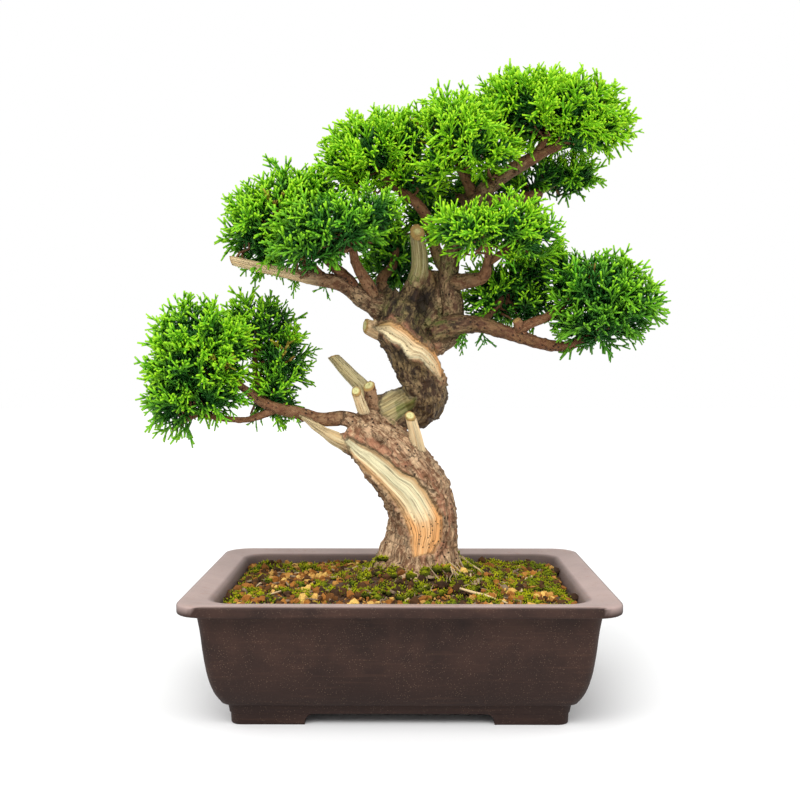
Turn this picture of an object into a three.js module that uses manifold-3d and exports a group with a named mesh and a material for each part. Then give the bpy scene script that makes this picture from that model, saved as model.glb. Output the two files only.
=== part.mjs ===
// A shimpaku juniper bonsai in its unglazed rectangular pot, in millimetres.
// +Z is up, +X is the viewer's right and +Y the back. The origin lies on the surface that the pot
// stands on, under the middle of the pot.
import * as THREE from "three";
import { mergeVertices } from "three/addons/utils/BufferGeometryUtils.js";
import Module from "manifold-3d";

const wasm = await Module();
wasm.setup();

// Driving dimensions of the pot
const POT = {
  width: 330,
  depth: 255,
  height: 98,
  rimCorner: 21,
  wallCorner: 9,
  innerCorner: 20,
  floorUnder: 8.5,
  floorTop: 17,
  footInset: 37,
  footLongSide: 56,
  footShortSide: 40,
  footWidth: 17,
  footCurve: 6,
  arcSteps: 3,
};
const DRAIN = { radius: 11, offset: 60, length: 20, sides: 12 };
const SCREEN = { side: 38, bar: 2.6, openings: 3, thick: 1.2 };
const CLIP = { wire: 0.8, reach: 8.5, spread: 18, bend: 1.1, sides: 5 };

// The gap between parts that touch, the gap round the wood, and the shortest edge worth keeping
const GAP = 0.3;
const WOOD_GAP = 0.35;
const SLIVER = 0.08;

// Driving dimensions of the soil and of the place where the trunk stands in it
const SOIL = {
  wallHeight: 87,
  mound: 23,
  moundSpread: 58,
  relief: 1.5,
  scatter: 5,
  rings: 7,
  sideSteps: [8, 6],
  seed: 11,
};
const TRUNK_FOOT = { x: 19, y: 0 };

// Driving dimensions of the foliage. Tufts and shoots are raised from a clump's core, whose surface
// lies at the root share of the clump's reach. A fingered shoot has three side shoots at true size.
const TUFT = {
  root: 0.76,
  uneven: 0.08,
  reach: 1.03,
  shortest: 0.74,
  longest: 1.08,
  lean: 0.45,
  held: 0.93,
};
const SHOOT = {
  share: 0.12,
  reach: 1.08,
  clear: 1.2,
  stem: 0.5,
  fork: 0.74,
  fingerLevel: 0.62,
  radius: 1.3,
  taper: 0.85,
  finger: 5.8,
};
const FOLIAGE = { detail: 2, ownMargin: 0.05, searchSteps: 24, firstStep: 8, seed: 301 };

const FRONT = new THREE.Vector3(0, -1, 0);
const TURN = 2 * Math.PI;

/** Random numbers from 0 to 1, the same ones in each run. */
function seededRandom(seed) {
  let state = seed >>> 0;
  return () => {
    state = (state + 0x6d2b79f5) >>> 0;
    let t = Math.imul(state ^ (state >>> 15), 1 | state);
    t = (t + Math.imul(t ^ (t >>> 7), 61 | t)) ^ t;
    return ((t ^ (t >>> 14)) >>> 0) / 4294967296;
  };
}

/** A closed solid from points and triangles. */
function solidOf(points, triangles) {
  const vertProperties = new Float32Array(points.flatMap((p) => [p.x, p.y, p.z]));
  const triVerts = new Uint32Array(triangles.flat());
  return new wasm.Manifold(new wasm.Mesh({ numProp: 3, vertProperties, triVerts }));
}

/** A closed solid from a three.js geometry. */
function solidOfGeometry(geometry) {
  geometry.deleteAttribute("normal");
  geometry.deleteAttribute("uv");
  const merged = mergeVertices(geometry, 1e-4);
  return new wasm.Manifold(
    new wasm.Mesh({
      numProp: 3,
      vertProperties: new Float32Array(merged.attributes.position.array),
      triVerts: new Uint32Array(merged.index.array),
    }),
  );
}

/** A named mesh with its own material from a solid. */
function meshOf(name, solid, color, roughness) {
  const { numProp, numVert, vertProperties, triVerts } = solid.getMesh();
  const position = new Float32Array(numVert * 3);
  for (let i = 0; i < numVert; i++)
    position.set(vertProperties.subarray(i * numProp, i * numProp + 3), i * 3);
  const geometry = new THREE.BufferGeometry()
    .setAttribute("position", new THREE.BufferAttribute(position, 3))
    .setIndex(new THREE.BufferAttribute(triVerts, 1));
  geometry.computeVertexNormals();
  const material = new THREE.MeshStandardMaterial({ color, roughness, metalness: 0 });
  const mesh = new THREE.Mesh(geometry, material);
  mesh.name = name;
  return mesh;
}

/** The largest body of a solid, without slivers or loose scraps and with sealed hollows filled. */
function largestBody(solid) {
  const smooth = solid.asOriginal().simplify(SLIVER);
  const bodies = smooth.decompose().filter((body) => body.volume() > 0);
  return bodies.reduce((a, b) => (b.volume() > a.volume() ? b : a));
}

/** A solid skinned over rings of points, closed at both ends by a fan from the ring's middle. */
function loft(rings) {
  const count = rings[0].length;
  const points = rings.flat();
  const triangles = [];
  for (let k = 0; k + 1 < rings.length; k++)
    for (let i = 0; i < count; i++) {
      const j = (i + 1) % count;
      const [a, b] = [k * count + i, k * count + j];
      const [c, d] = [a + count, b + count];
      triangles.push([a, b, d], [a, d, c]);
    }
  const last = (rings.length - 1) * count;
  const middle = (ring) =>
    ring.reduce((sum, p) => sum.add(p), new THREE.Vector3()).divideScalar(count);
  points.push(middle(rings[0]), middle(rings[rings.length - 1]));
  for (let i = 0; i < count; i++) {
    const j = (i + 1) % count;
    triangles.push([points.length - 2, j, i], [points.length - 1, last + i, last + j]);
  }
  return solidOf(points, triangles);
}

/** A rounded rectangle at height z, with its long and short sides split into sideSteps. */
function roundedRing(halfX, halfY, radius, z, sideSteps = [1, 1]) {
  const corners = [
    [1, 1, 0],
    [-1, 1, 1],
    [-1, -1, 2],
    [1, -1, 3],
  ];
  const points = [];
  for (const [sx, sy, quarter] of corners) {
    for (let k = 0; k <= POT.arcSteps; k++) {
      const angle = ((quarter + k / POT.arcSteps) * Math.PI) / 2;
      const x = sx * (halfX - radius) + radius * Math.cos(angle);
      const y = sy * (halfY - radius) + radius * Math.sin(angle);
      points.push(new THREE.Vector3(x, y, z));
    }
    const steps = sideSteps[quarter % 2];
    const alongX = quarter % 2 === 0;
    const from = points[points.length - 1];
    const span = alongX ? -2 * sx * (halfX - radius) : -2 * sy * (halfY - radius);
    for (let k = 1; k < steps; k++) {
      const shift = (span * k) / steps;
      points.push(from.clone().add(new THREE.Vector3(alongX ? shift : 0, alongX ? 0 : shift, 0)));
    }
  }
  return points;
}

/** A box from its lowest and highest corner. */
function box(low, high) {
  const size = high.map((v, i) => v - low[i]);
  const geometry = new THREE.BoxGeometry(...size);
  geometry.translate(...low.map((v, i) => v + size[i] / 2));
  return solidOfGeometry(geometry);
}

/** The inner wall of the pot, as insets from the rim's edge and heights, from the rim down. */
const INNER_WALL = [
  [24, 92.6],
  [26, 87],
  [27.5, 62],
  [31, 38],
  [36, 24],
  [43, POT.floorTop],
];

/** The pot: one fired piece from its feet up over the rolled rim and down to its floor. */
function makePot() {
  // Each line holds the inset from the rim's edge, the height and the corner radius
  const footCorner = 8;
  const outside = [
    [POT.footInset, 0, footCorner],
    [36, POT.floorUnder, footCorner],
    [35.2, 9.6, footCorner],
    [34, 15.6, footCorner],
    [33.4, 16.5, footCorner],
    [30, 17.2, POT.wallCorner],
    [25.4, 25, POT.wallCorner],
    [21.2, 38, POT.wallCorner],
    [18.2, 56, POT.wallCorner],
    [16.2, 74, POT.wallCorner],
    [13.7, 88.4, POT.wallCorner],
    [1.4, 89.2, POT.rimCorner],
    [0, 90.6, POT.rimCorner],
    [0, 95.4, POT.rimCorner],
    [1.6, 97.4, POT.rimCorner],
    [4.6, POT.height, POT.rimCorner],
    [9, 97.4, POT.rimCorner],
    [21, 95.6, POT.innerCorner],
  ];
  const inside = INNER_WALL.map(([inset, z]) => [inset, z, POT.innerCorner]);
  const rings = [...outside, ...inside].map(([inset, z, radius]) =>
    roundedRing(POT.width / 2 - inset, POT.depth / 2 - inset, radius, z),
  );
  let pot = loft(rings);

  // The passages under the pot leave four corner feet, with hollowed ends on the long sides
  const footEndX = POT.width / 2 - POT.footInset - POT.footLongSide;
  const footEndY = POT.depth / 2 - POT.footInset - POT.footShortSide;
  const beyond = POT.depth;
  const passage = new THREE.Shape();
  passage.moveTo(-footEndX, -1);
  passage.lineTo(footEndX, -1);
  passage.lineTo(footEndX, 0);
  passage.quadraticCurveTo(
    footEndX,
    POT.floorUnder,
    footEndX - POT.footCurve,
    POT.floorUnder,
  );
  passage.lineTo(-footEndX + POT.footCurve, POT.floorUnder);
  passage.quadraticCurveTo(-footEndX, POT.floorUnder, -footEndX, 0);
  passage.closePath();
  const through = new THREE.ExtrudeGeometry(passage, {
    depth: beyond,
    bevelEnabled: false,
    curveSegments: 3,
  });
  through.rotateX(Math.PI / 2);
  through.translate(0, beyond / 2, 0);
  const innerX = POT.width / 2 - POT.footInset - POT.footWidth;
  const innerY = POT.depth / 2 - POT.footInset - POT.footWidth;
  pot = pot
    .subtract(solidOfGeometry(through))
    .subtract(box([-POT.width, -footEndY, -1], [POT.width, footEndY, POT.floorUnder]))
    .subtract(box([-innerX, -innerY, -1], [innerX, innerY, POT.floorUnder]));

  for (const side of [-1, 1]) {
    const { radius, length, sides } = DRAIN;
    const hole = new THREE.CylinderGeometry(radius, radius, length, sides);
    hole.rotateX(Math.PI / 2);
    hole.translate(side * DRAIN.offset, 0, (POT.floorUnder + POT.floorTop) / 2);
    pot = pot.subtract(solidOfGeometry(hole));
  }
  return pot;
}

/** A square plastic mesh over the drainage hole at x. */
function makeScreen(x) {
  const half = SCREEN.side / 2;
  const [low, high] = [POT.floorTop + GAP, POT.floorTop + GAP + SCREEN.thick];
  const pitch = (SCREEN.side - SCREEN.bar) / SCREEN.openings;
  const opening = pitch - SCREEN.bar;
  let screen = box([x - half, -half, low], [x + half, half, high]);
  for (let i = 0; i < SCREEN.openings; i++)
    for (let j = 0; j < SCREEN.openings; j++) {
      const [left, near] = [i, j].map((k) => SCREEN.bar + k * pitch - half);
      const corner = [x + left, near, low - 1];
      screen = screen.subtract(box(corner, [x + left + opening, near + opening, high + 1]));
    }
  return screen;
}

/** The height of a clip's wire where it crosses the top of its screen. */
const clipTop = POT.floorTop + GAP + SCREEN.thick + GAP + CLIP.wire;

/** A wire staple over a screen, with its legs bent out under the floor of the pot. */
function makeClip(x) {
  const under = POT.floorUnder - GAP - CLIP.wire;
  const route = [
    [-CLIP.spread, 0, under],
    [-CLIP.reach - CLIP.bend, 0, under],
    [-CLIP.reach, 0, under + CLIP.bend],
    [-CLIP.reach, 0, clipTop - CLIP.bend],
    [-CLIP.reach + CLIP.bend, 0, clipTop],
    [CLIP.reach - CLIP.bend, 0, clipTop],
    [CLIP.reach, 0, clipTop - CLIP.bend],
    [CLIP.reach, 0, under + CLIP.bend],
    [CLIP.reach + CLIP.bend, 0, under],
    [CLIP.spread, 0, under],
  ];
  return loft(
    route.map(([dx, , z], k) => {
      const before = route[Math.max(0, k - 1)];
      const after = route[Math.min(route.length - 1, k + 1)];
      const along = new THREE.Vector3(after[0] - before[0], 0, after[2] - before[2]).normalize();
      const across = new THREE.Vector3(0, 1, 0);
      const normal = across.clone().cross(along);
      return Array.from({ length: CLIP.sides }, (_, i) => {
        const angle = (TURN * i) / CLIP.sides;
        return new THREE.Vector3(x + dx, 0, z)
          .addScaledVector(across, CLIP.wire * Math.cos(angle))
          .addScaledVector(normal, -CLIP.wire * Math.sin(angle));
      });
    }),
  );
}

/** The height of the soil's surface at a place, without its relief. */
function soilHeight(x, y) {
  const distance = Math.hypot(x - TRUNK_FOOT.x, y - TRUNK_FOOT.y);
  return SOIL.wallHeight + SOIL.mound * Math.exp(-((distance / SOIL.moundSpread) ** 2));
}

/** The soil that fills the pot, mounded up to the trunk, with lumps on its surface. */
function makeSoil(woodHole) {
  const random = seededRandom(SOIL.seed);
  const wall = INNER_WALL.filter(([, z]) => z < SOIL.wallHeight).reverse();
  wall[0] = [wall[0][0], POT.floorTop + GAP];
  wall.push([INNER_WALL[1][0], SOIL.wallHeight - SOIL.relief]);
  const ringAt = ([inset, z]) =>
    roundedRing(
      POT.width / 2 - inset - GAP,
      POT.depth / 2 - inset - GAP,
      POT.innerCorner,
      z,
      SOIL.sideSteps,
    );
  const rings = wall.map(ringAt);
  const edge = rings[rings.length - 1];
  for (let k = 1; k <= SOIL.rings; k++) {
    const toTrunk = k / (SOIL.rings + 1);
    rings.push(
      edge.map((p) => {
        const jitter = () => (random() - 0.5) * SOIL.scatter * (1 - toTrunk);
        const x = THREE.MathUtils.lerp(p.x, TRUNK_FOOT.x, toTrunk) + jitter();
        const y = THREE.MathUtils.lerp(p.y, TRUNK_FOOT.y, toTrunk) + jitter();
        return new THREE.Vector3(x, y, soilHeight(x, y) + (random() * 2 - 1) * SOIL.relief);
      }),
    );
  }
  let soil = loft(rings);
  for (const side of [-1, 1]) {
    const x = side * DRAIN.offset;
    const half = SCREEN.side / 2 + GAP;
    const screenTop = POT.floorTop + GAP + SCREEN.thick + GAP;
    const clipX = CLIP.reach + CLIP.wire + GAP;
    const clipY = CLIP.wire + GAP;
    soil = soil
      .subtract(box([x - half, -half, 0], [x + half, half, screenTop]))
      .subtract(box([x - clipX, -clipY, 0], [x + clipX, clipY, clipTop + CLIP.wire + GAP]));
  }
  return largestBody(soil.subtract(woodHole));
}

// The wood as limbs. Each station is [x, y, z, radius] on the limb's middle line.
const LOWER_TRUNK = [
  [22, 0, 60, 34],
  [22, 0, 82, 39],
  [20, 0, 99, 36.5],
  [20, 0, 112, 33],
  [21, 0, 127, 29.5],
  [21, -1, 144, 28.5],
  [17, -2, 161, 27.8],
  [7, -6, 179, 27.6],
  [-6, -9, 194, 26.4],
  [-19, -11, 207, 24],
  [-30, -11, 218, 19.5],
  [-37, -11, 226, 12],
];
const UPPER_TRUNK = [
  [-27, -2, 220, 14],
  [-21, 7, 228, 17],
  [-7, 19, 233, 19],
  [10, 26, 234, 20.5],
  [22, 22, 240, 21],
  [21, 9, 257, 19.6],
  [13, 1, 275, 19.6],
  [5, -3, 289, 20.4],
  [-1, -4, 303, 21.6],
  [2, 0, 318, 23],
  [6, 2, 330, 17],
];
const BRANCHES = {
  lowLeft: [
    [-28, -11, 220, 9],
    [-43, -12, 228, 6.8],
    [-66, -12, 228, 5.8],
    [-84, -12, 233, 5.3],
    [-106, -12, 238, 4.6],
    [-121, -13, 247, 3.6],
    [-144, -16, 267, 2.1],
  ],
  lowLeftUnder: [
    [-102, -12, 236, 3.6],
    [-124, -14, 228, 2.6],
    [-148, -16, 229, 2.5],
    [-166, -16, 232, 2.3],
    [-188, -12, 219, 1.6],
  ],
  lowLeftBack: [
    [-106, -11, 238, 3.4],
    [-115, -3, 247, 2.9],
    [-124, 18, 276, 2.3],
    [-122, 28, 300, 1.8],
  ],
  crownBack: [
    [12, 8, 308, 16],
    [25, 12, 326, 13],
    [31, 12, 350, 7],
  ],
  left: [
    [2, -2, 316, 19],
    [-10, -2, 319, 14.6],
    [-27, -6, 326, 9.6],
    [-47, -10, 339, 6.8],
    [-67, -12, 343, 5.8],
    [-102, -12, 350, 4.1],
    [-140, -6, 359, 3.2],
  ],
  leftUpper: [
    [-36, -9, 331, 5.4],
    [-41, -12, 341, 4.9],
    [-55, -10, 354, 4.1],
    [-87, 2, 383, 2.3],
  ],
  leftMiddle: [
    [-60, -12, 341, 4.6],
    [-83, -6, 361, 3.3],
    [-103, 0, 374, 2.3],
  ],
  leftFront: [
    [-22, -6, 325, 7],
    [-24, -12, 334, 5.6],
    [-36, -26, 356, 3.8],
    [-38, -40, 384, 2.2],
  ],
  leftBack: [
    [-10, 2, 328, 6.5],
    [-16, 8, 343, 4.6],
    [-7, 24, 357, 3.8],
    [-2, 44, 386, 2.3],
  ],
  upperLeft: [
    [39, 4, 350, 6.5],
    [30, 10, 369, 5.3],
    [25, 6, 387, 5],
    [18, 2, 402, 4.6],
    [-7, 0, 423, 3.8],
    [-28, 0, 446, 2.4],
  ],
  rightLimb: [
    [6, 3, 296, 14],
    [24, 8, 291, 13.5],
    [40, 8, 299, 12],
    [44, 6, 318, 9.6],
    [40, 3, 344, 8.6],
    [46, 5, 377, 7.6],
    [54, 4, 397, 7],
    [73, -2, 420, 7],
    [100, -4, 438, 5.8],
    [126, 0, 452, 3.8],
    [158, 4, 467, 2.3],
  ],
  topCentre: [
    [63, 2, 408, 5.6],
    [54, -4, 427, 4.2],
    [41, -18, 449, 2.9],
    [35, -22, 463, 2.1],
  ],
  topFront: [
    [45, -15, 443, 2.7],
    [54, -22, 454, 2.2],
    [66, -24, 460, 1.7],
  ],
  topRight: [
    [112, -2, 446, 3.6],
    [120, -2, 460, 2.8],
    [122, 0, 476, 2],
  ],
  topBack: [
    [62, 3, 407, 6.2],
    [76, 8, 409, 5.8],
    [104, 28, 415, 4.3],
    [135, 42, 430, 2.3],
  ],
  topFarBack: [
    [56, 5, 402, 5],
    [54, 18, 412, 4],
    [45, 44, 421, 2.3],
  ],
  middleRight: [
    [42, 2, 341, 7.4],
    [54, -5, 342, 6.6],
    [68, -15, 345, 5],
    [71, -28, 365, 3],
    [66, -32, 378, 2.2],
  ],
  middleFarRight: [
    [72, -23, 355, 3],
    [85, -28, 365, 2.5],
    [97, -32, 375, 1.8],
  ],
  right: [
    [28, 3, 300, 11],
    [44, -2, 305, 9.6],
    [64, -6, 306, 6.8],
    [101, -8, 295, 5.6],
    [122, -8, 289, 4.9],
    [140, -6, 289, 4],
    [176, -2, 306, 2.2],
  ],
  rightFront: [
    [95, -8, 298, 4.4],
    [106, -12, 306, 4],
    [126, -10, 315, 3.6],
    [154, -4, 346, 1.9],
  ],
  rightBack: [
    [64, -2, 305, 5],
    [78, 13, 319, 3.6],
    [96, 28, 342, 2.1],
  ],
};

// Stubs of cut branches: they end in a flat cut, which leans by the given slope
const STUBS = [
  {
    lean: -0.5,
    stations: [
      [-25, 3, 235, 8],
      [-30, 8, 251, 6.9],
      [-43, 11, 265, 6],
      [-57, 14, 280, 4.8],
    ],
  },
  {
    lean: 0.35,
    stations: [
      [-25, -12, 220, 6.6],
      [-29, -19, 232, 5],
      [-36, -26, 252, 4.2],
    ],
  },
  {
    lean: 0.7,
    stations: [
      [-22, -2, 228, 7],
      [-23, -5, 239, 5.7],
      [-26, -7, 256, 5.3],
    ],
  },
  {
    lean: -0.2,
    stations: [
      [16, -12, 196, 6.8],
      [14, -20, 209, 5.3],
      [8, -26, 232, 4.4],
    ],
  },
  {
    lean: 0.3,
    stations: [
      [-8, -6, 297, 9],
      [-20, -12, 301, 7],
      [-29, -16, 305, 6],
    ],
  },
  {
    lean: -0.6,
    stations: [
      [5, -1, 322, 10],
      [10, -4, 336, 8.4],
      [16, -6, 350, 7.6],
      [13, -8, 381, 6.8],
    ],
  },
  {
    lean: 0,
    stations: [
      [101, -9, 300, 4.6],
      [95, -13, 310, 3.8],
    ],
  },
];
const JIN = [
  [-34, -10, 204, 10],
  [-51, -14, 211, 6.4],
  [-66, -16, 220, 4],
  [-81, -18, 230, 1.6],
];

// Surface roots leave the trunk's foot at these angles from +X, with a reach and a thickness. Each
// level holds the share of the reach, the height and the share of the thickness.
const ROOT_LEVELS = [
  [0.35, 108, 1],
  [0.7, 95, 0.85],
  [0.9, 86, 0.6],
  [1, 78, 0.4],
];
const ROOTS = [
  { angle: -20, reach: 60, radius: 8.5 },
  { angle: 38, reach: 58, radius: 9 },
  { angle: 98, reach: 54, radius: 10 },
  { angle: 158, reach: 54, radius: 9 },
  { angle: 216, reach: 54, radius: 9 },
  { angle: 284, reach: 52, radius: 8.5 },
];

/** The smooth middle line and radius of a limb, sampled at steps for each pair of stations. */
function sampled(stations, steps) {
  const curve = new THREE.CatmullRomCurve3(
    stations.map(([x, y, z]) => new THREE.Vector3(x, y, z)),
    false,
    "centripetal",
  );
  const spans = stations.length - 1;
  return Array.from({ length: spans * steps + 1 }, (_, k) => {
    const t = k / (spans * steps);
    const at = Math.min(Math.floor(t * spans), spans - 1);
    const part = THREE.MathUtils.smoothstep(t * spans - at, 0, 1);
    const radius = THREE.MathUtils.lerp(stations[at][3], stations[at + 1][3], part);
    return { t, point: curve.getPoint(t), along: curve.getTangent(t), radius };
  });
}

/** One limb as a solid: a round or lobed section swept along its stations. */
function limb(stations, { sides = 6, steps = 1, grow = 0, section = () => 1, lean = 0 } = {}) {
  const rings = [];
  let normal = FRONT.clone();
  for (const { t, point, along, radius } of sampled(stations, steps)) {
    normal = normal.clone().addScaledVector(along, -normal.dot(along)).normalize();
    const across = along.clone().cross(normal);
    const tilt = t === 1 ? lean : 0;
    const ring = Array.from({ length: sides }, (_, i) => {
      const angle = (TURN * i) / sides;
      const r = radius * section(angle, t) + grow;
      return point
        .clone()
        .addScaledVector(normal, r * Math.cos(angle))
        .addScaledVector(across, r * Math.sin(angle))
        .addScaledVector(along, tilt * r * Math.sin(angle));
    });
    rings.push(ring);
  }
  if (grow > 0) {
    const first = rings[0];
    const last = rings[rings.length - 1];
    const tangents = sampled(stations, 1);
    first.forEach((p) => p.addScaledVector(tangents[0].along, -grow));
    last.forEach((p) => p.addScaledVector(tangents[tangents.length - 1].along, grow));
  }
  return loft(rings);
}

/** How far a place on the bark lies inside a stripe of bare wood, from 0 to 1. */
function stripe(angle, middle, halfWidth) {
  const away = Math.abs(THREE.MathUtils.euclideanModulo(angle - middle + Math.PI, TURN) - Math.PI);
  return 1 - THREE.MathUtils.smoothstep(away, halfWidth * 0.6, halfWidth * 1.4);
}

/** The lower trunk's section: muscles of wood that twist, and a bare hollow down its front. */
function lowerSection(angle, t) {
  const muscles = 0.05 * Math.cos(5 * angle + 4 * t) + 0.03 * Math.cos(3 * angle - 5 * t + 1);
  const shown = THREE.MathUtils.smoothstep(t, 0.22, 0.35);
  return 1 + muscles - 0.1 * shown * stripe(angle, 0.25 - 0.5 * t, 0.6);
}

/** The upper trunk's section: lumpy old wood, with a bare stripe that winds round its front. */
function upperSection(angle, t) {
  const lumps = 0.06 * Math.cos(3 * angle + 9 * t) + 0.04 * Math.cos(5 * angle - 7 * t + 2);
  const shown = THREE.MathUtils.smoothstep(t, 0.45, 0.55) * (t < 0.95 ? 1 : 0);
  const winding = THREE.MathUtils.mapLinear(t, 0.55, 0.88, 1.3, -1.1);
  return 1 + lumps - 0.09 * shown * stripe(angle, winding, 0.5);
}

/** A surface root, from inside the trunk's foot out and down into the soil. */
function rootStations({ angle, reach, radius }) {
  const turn = THREE.MathUtils.degToRad(angle);
  return ROOT_LEVELS.map(([share, z, thickness]) => [
    TRUNK_FOOT.x + share * reach * Math.cos(turn),
    TRUNK_FOOT.y + share * reach * Math.sin(turn),
    z,
    radius * thickness,
  ]);
}

/** All the wood as one grown piece. Grown by a clearance, it is the shape of its hole. */
function makeWood(grow = 0) {
  let wood = limb(LOWER_TRUNK, { sides: 15, section: lowerSection, grow }).add(
    limb(UPPER_TRUNK, { sides: 13, section: upperSection, grow }),
  );
  for (const stations of Object.values(BRANCHES)) {
    const sides = [4, 5, 6, 8].find((_, k) => stations[0][3] < [3.3, 6, 10, Infinity][k]);
    wood = wood.add(limb(stations, { sides, grow }));
  }
  for (const { stations, lean } of STUBS) wood = wood.add(limb(stations, { sides: 6, lean, grow }));
  wood = wood.add(limb(JIN, { sides: 5, grow }));
  for (const root of ROOTS) wood = wood.add(limb(rootStations(root), { sides: 5, grow }));
  return largestBody(wood);
}

// The foliage clumps. A clump is what lies inside its lobes, as seen from its heart.
// Each lobe is an ellipsoid: [x, y, z, radius along X, along Y, along Z].
const CLUMPS = {
  foliage_low_left: {
    heart: [-168, -13, 277],
    lobes: [
      [-173, -12, 297, 41, 44, 30],
      [-176, -14, 272, 41, 46, 31],
      [-147, -8, 285, 31, 42, 31],
      [-193, -12, 239, 27, 34, 31],
      [-152, -18, 246, 23, 28, 18],
    ],
  },
  foliage_low_left_back: {
    heart: [-108, 22, 278],
    lobes: [
      [-122, 32, 308, 35, 38, 28],
      [-101, 22, 274, 25, 34, 34],
      [-108, 10, 238, 22, 28, 26],
    ],
  },
  foliage_left: {
    heart: [-108, 6, 392],
    lobes: [
      [-119, 2, 383, 33, 44, 32],
      [-91, 8, 406, 35, 46, 32],
      [-130, 10, 393, 24, 36, 29],
      [-70, 6, 416, 21, 32, 21],
    ],
  },
  foliage_left_front: {
    heart: [-54, -43, 380],
    lobes: [
      [-55, -42, 381, 46, 40, 30],
      [-77, -44, 367, 27, 32, 24],
      [-21, -40, 393, 24, 30, 20],
    ],
  },
  foliage_left_inner_back: {
    heart: [-6, 47, 376],
    lobes: [
      [-2, 46, 361, 32, 36, 30],
      [-18, 44, 383, 25, 30, 25],
      [21, 50, 405, 21, 26, 16],
    ],
  },
  foliage_upper_left: {
    heart: [-14, 2, 446],
    lobes: [
      [-25, 2, 451, 38, 46, 33],
      [-45, 0, 438, 25, 36, 23],
      [10, 4, 455, 28, 42, 32],
      [12, 8, 427, 32, 32, 20],
    ],
  },
  foliage_top_centre: {
    heart: [50, -23, 454],
    lobes: [
      [42, -22, 462, 33, 42, 31],
      [59, -26, 453, 32, 40, 28],
      [29, -16, 443, 23, 32, 25],
      [82, -24, 444, 16, 26, 19],
    ],
  },
  foliage_top_right: {
    heart: [128, 1, 481],
    lobes: [
      [106, 0, 482, 42, 48, 34],
      [145, 4, 483, 42, 48, 32],
      [169, 2, 467, 27, 36, 23],
      [84, -4, 486, 22, 34, 22],
      [121, 0, 494, 26, 34, 24],
      [148, 4, 464, 32, 38, 22],
    ],
  },
  foliage_top_right_back: {
    heart: [100, 47, 431],
    lobes: [
      [128, 44, 433, 39, 32, 20],
      [152, 40, 434, 21, 24, 17],
      [76, 48, 432, 35, 30, 19],
      [38, 50, 419, 30, 30, 21],
    ],
  },
  foliage_middle_right: {
    heart: [77, -33, 379],
    lobes: [
      [53, -34, 379, 32, 34, 22],
      [88, -34, 384, 31, 32, 21],
      [106, -26, 373, 24, 28, 20],
    ],
  },
  foliage_right_inner_back: {
    heart: [94, 27, 337],
    lobes: [
      [99, 28, 340, 38, 36, 28],
      [77, 24, 328, 28, 32, 24],
      [118, 30, 356, 22, 28, 22],
      [112, 18, 322, 24, 28, 22],
    ],
  },
  foliage_right: {
    heart: [167, -2, 322],
    lobes: [
      [162, -2, 335, 42, 46, 34],
      [190, 2, 323, 31, 42, 32],
      [159, -6, 306, 36, 40, 27],
      [135, 4, 348, 22, 32, 23],
    ],
  },
};

/** How far a clump reaches from its heart in a direction: the furthest exit from its lobes. */
function lobesReach({ heart, lobes }, direction) {
  let reach = 0;
  for (const [x, y, z, rx, ry, rz] of lobes) {
    const from = [(heart[0] - x) / rx, (heart[1] - y) / ry, (heart[2] - z) / rz];
    const to = [direction.x / rx, direction.y / ry, direction.z / rz];
    const a = to[0] ** 2 + to[1] ** 2 + to[2] ** 2;
    const b = from[0] * to[0] + from[1] * to[1] + from[2] * to[2];
    const c = from[0] ** 2 + from[1] ** 2 + from[2] ** 2 - 1;
    const root = b * b - a * c;
    if (root > 0) reach = Math.max(reach, (-b + Math.sqrt(root)) / a);
  }
  return reach;
}

/** A point's distance from a clump's heart, as a share of the clump's reach towards it. */
function shareAt(clump, point) {
  const away = point.clone().sub(new THREE.Vector3(...clump.heart));
  const distance = away.length();
  return distance / lobesReach(clump, away.divideScalar(distance || 1));
}

/** Whether a point is a clump's own: nearer its heart, by share, than any other clump's. */
function owns(clump, point) {
  const own = shareAt(clump, point);
  return Object.values(CLUMPS).every(
    (other) => other === clump || own < shareAt(other, point) - FOLIAGE.ownMargin,
  );
}

/** A clump's reach in a direction, drawn in where it meets a neighbour. */
function ownReach(clump, direction) {
  const full = lobesReach(clump, direction);
  const heart = new THREE.Vector3(...clump.heart);
  const step = full / FOLIAGE.searchSteps;
  for (let k = FOLIAGE.firstStep; k <= FOLIAGE.searchSteps; k++) {
    const point = heart.clone().addScaledVector(direction, step * k);
    if (!owns(clump, point)) return step * (k - 1);
  }
  return full;
}

/** A clump's reach along each axis: a stretch for directions, so that they spread evenly. */
function stretchOf({ heart, lobes }) {
  return [0, 1, 2].map((i) => {
    const reach = lobes.map((lobe) => Math.abs(lobe[i] - heart[i]) + lobe[i + 3]);
    return Math.max(...reach);
  });
}

/** A direction stretched to a clump's proportions. */
function stretched(direction, stretch) {
  return new THREE.Vector3(
    direction.x * stretch[0],
    direction.y * stretch[1],
    direction.z * stretch[2],
  ).normalize();
}

/** Adds a plain tuft over a core's triangle: three faces that meet at a tip. */
function addTuft(points, triangles, [a, b, c], tip) {
  const e = points.push(tip) - 1;
  triangles.push([a, b, e], [b, c, e], [c, a, e]);
}

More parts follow.
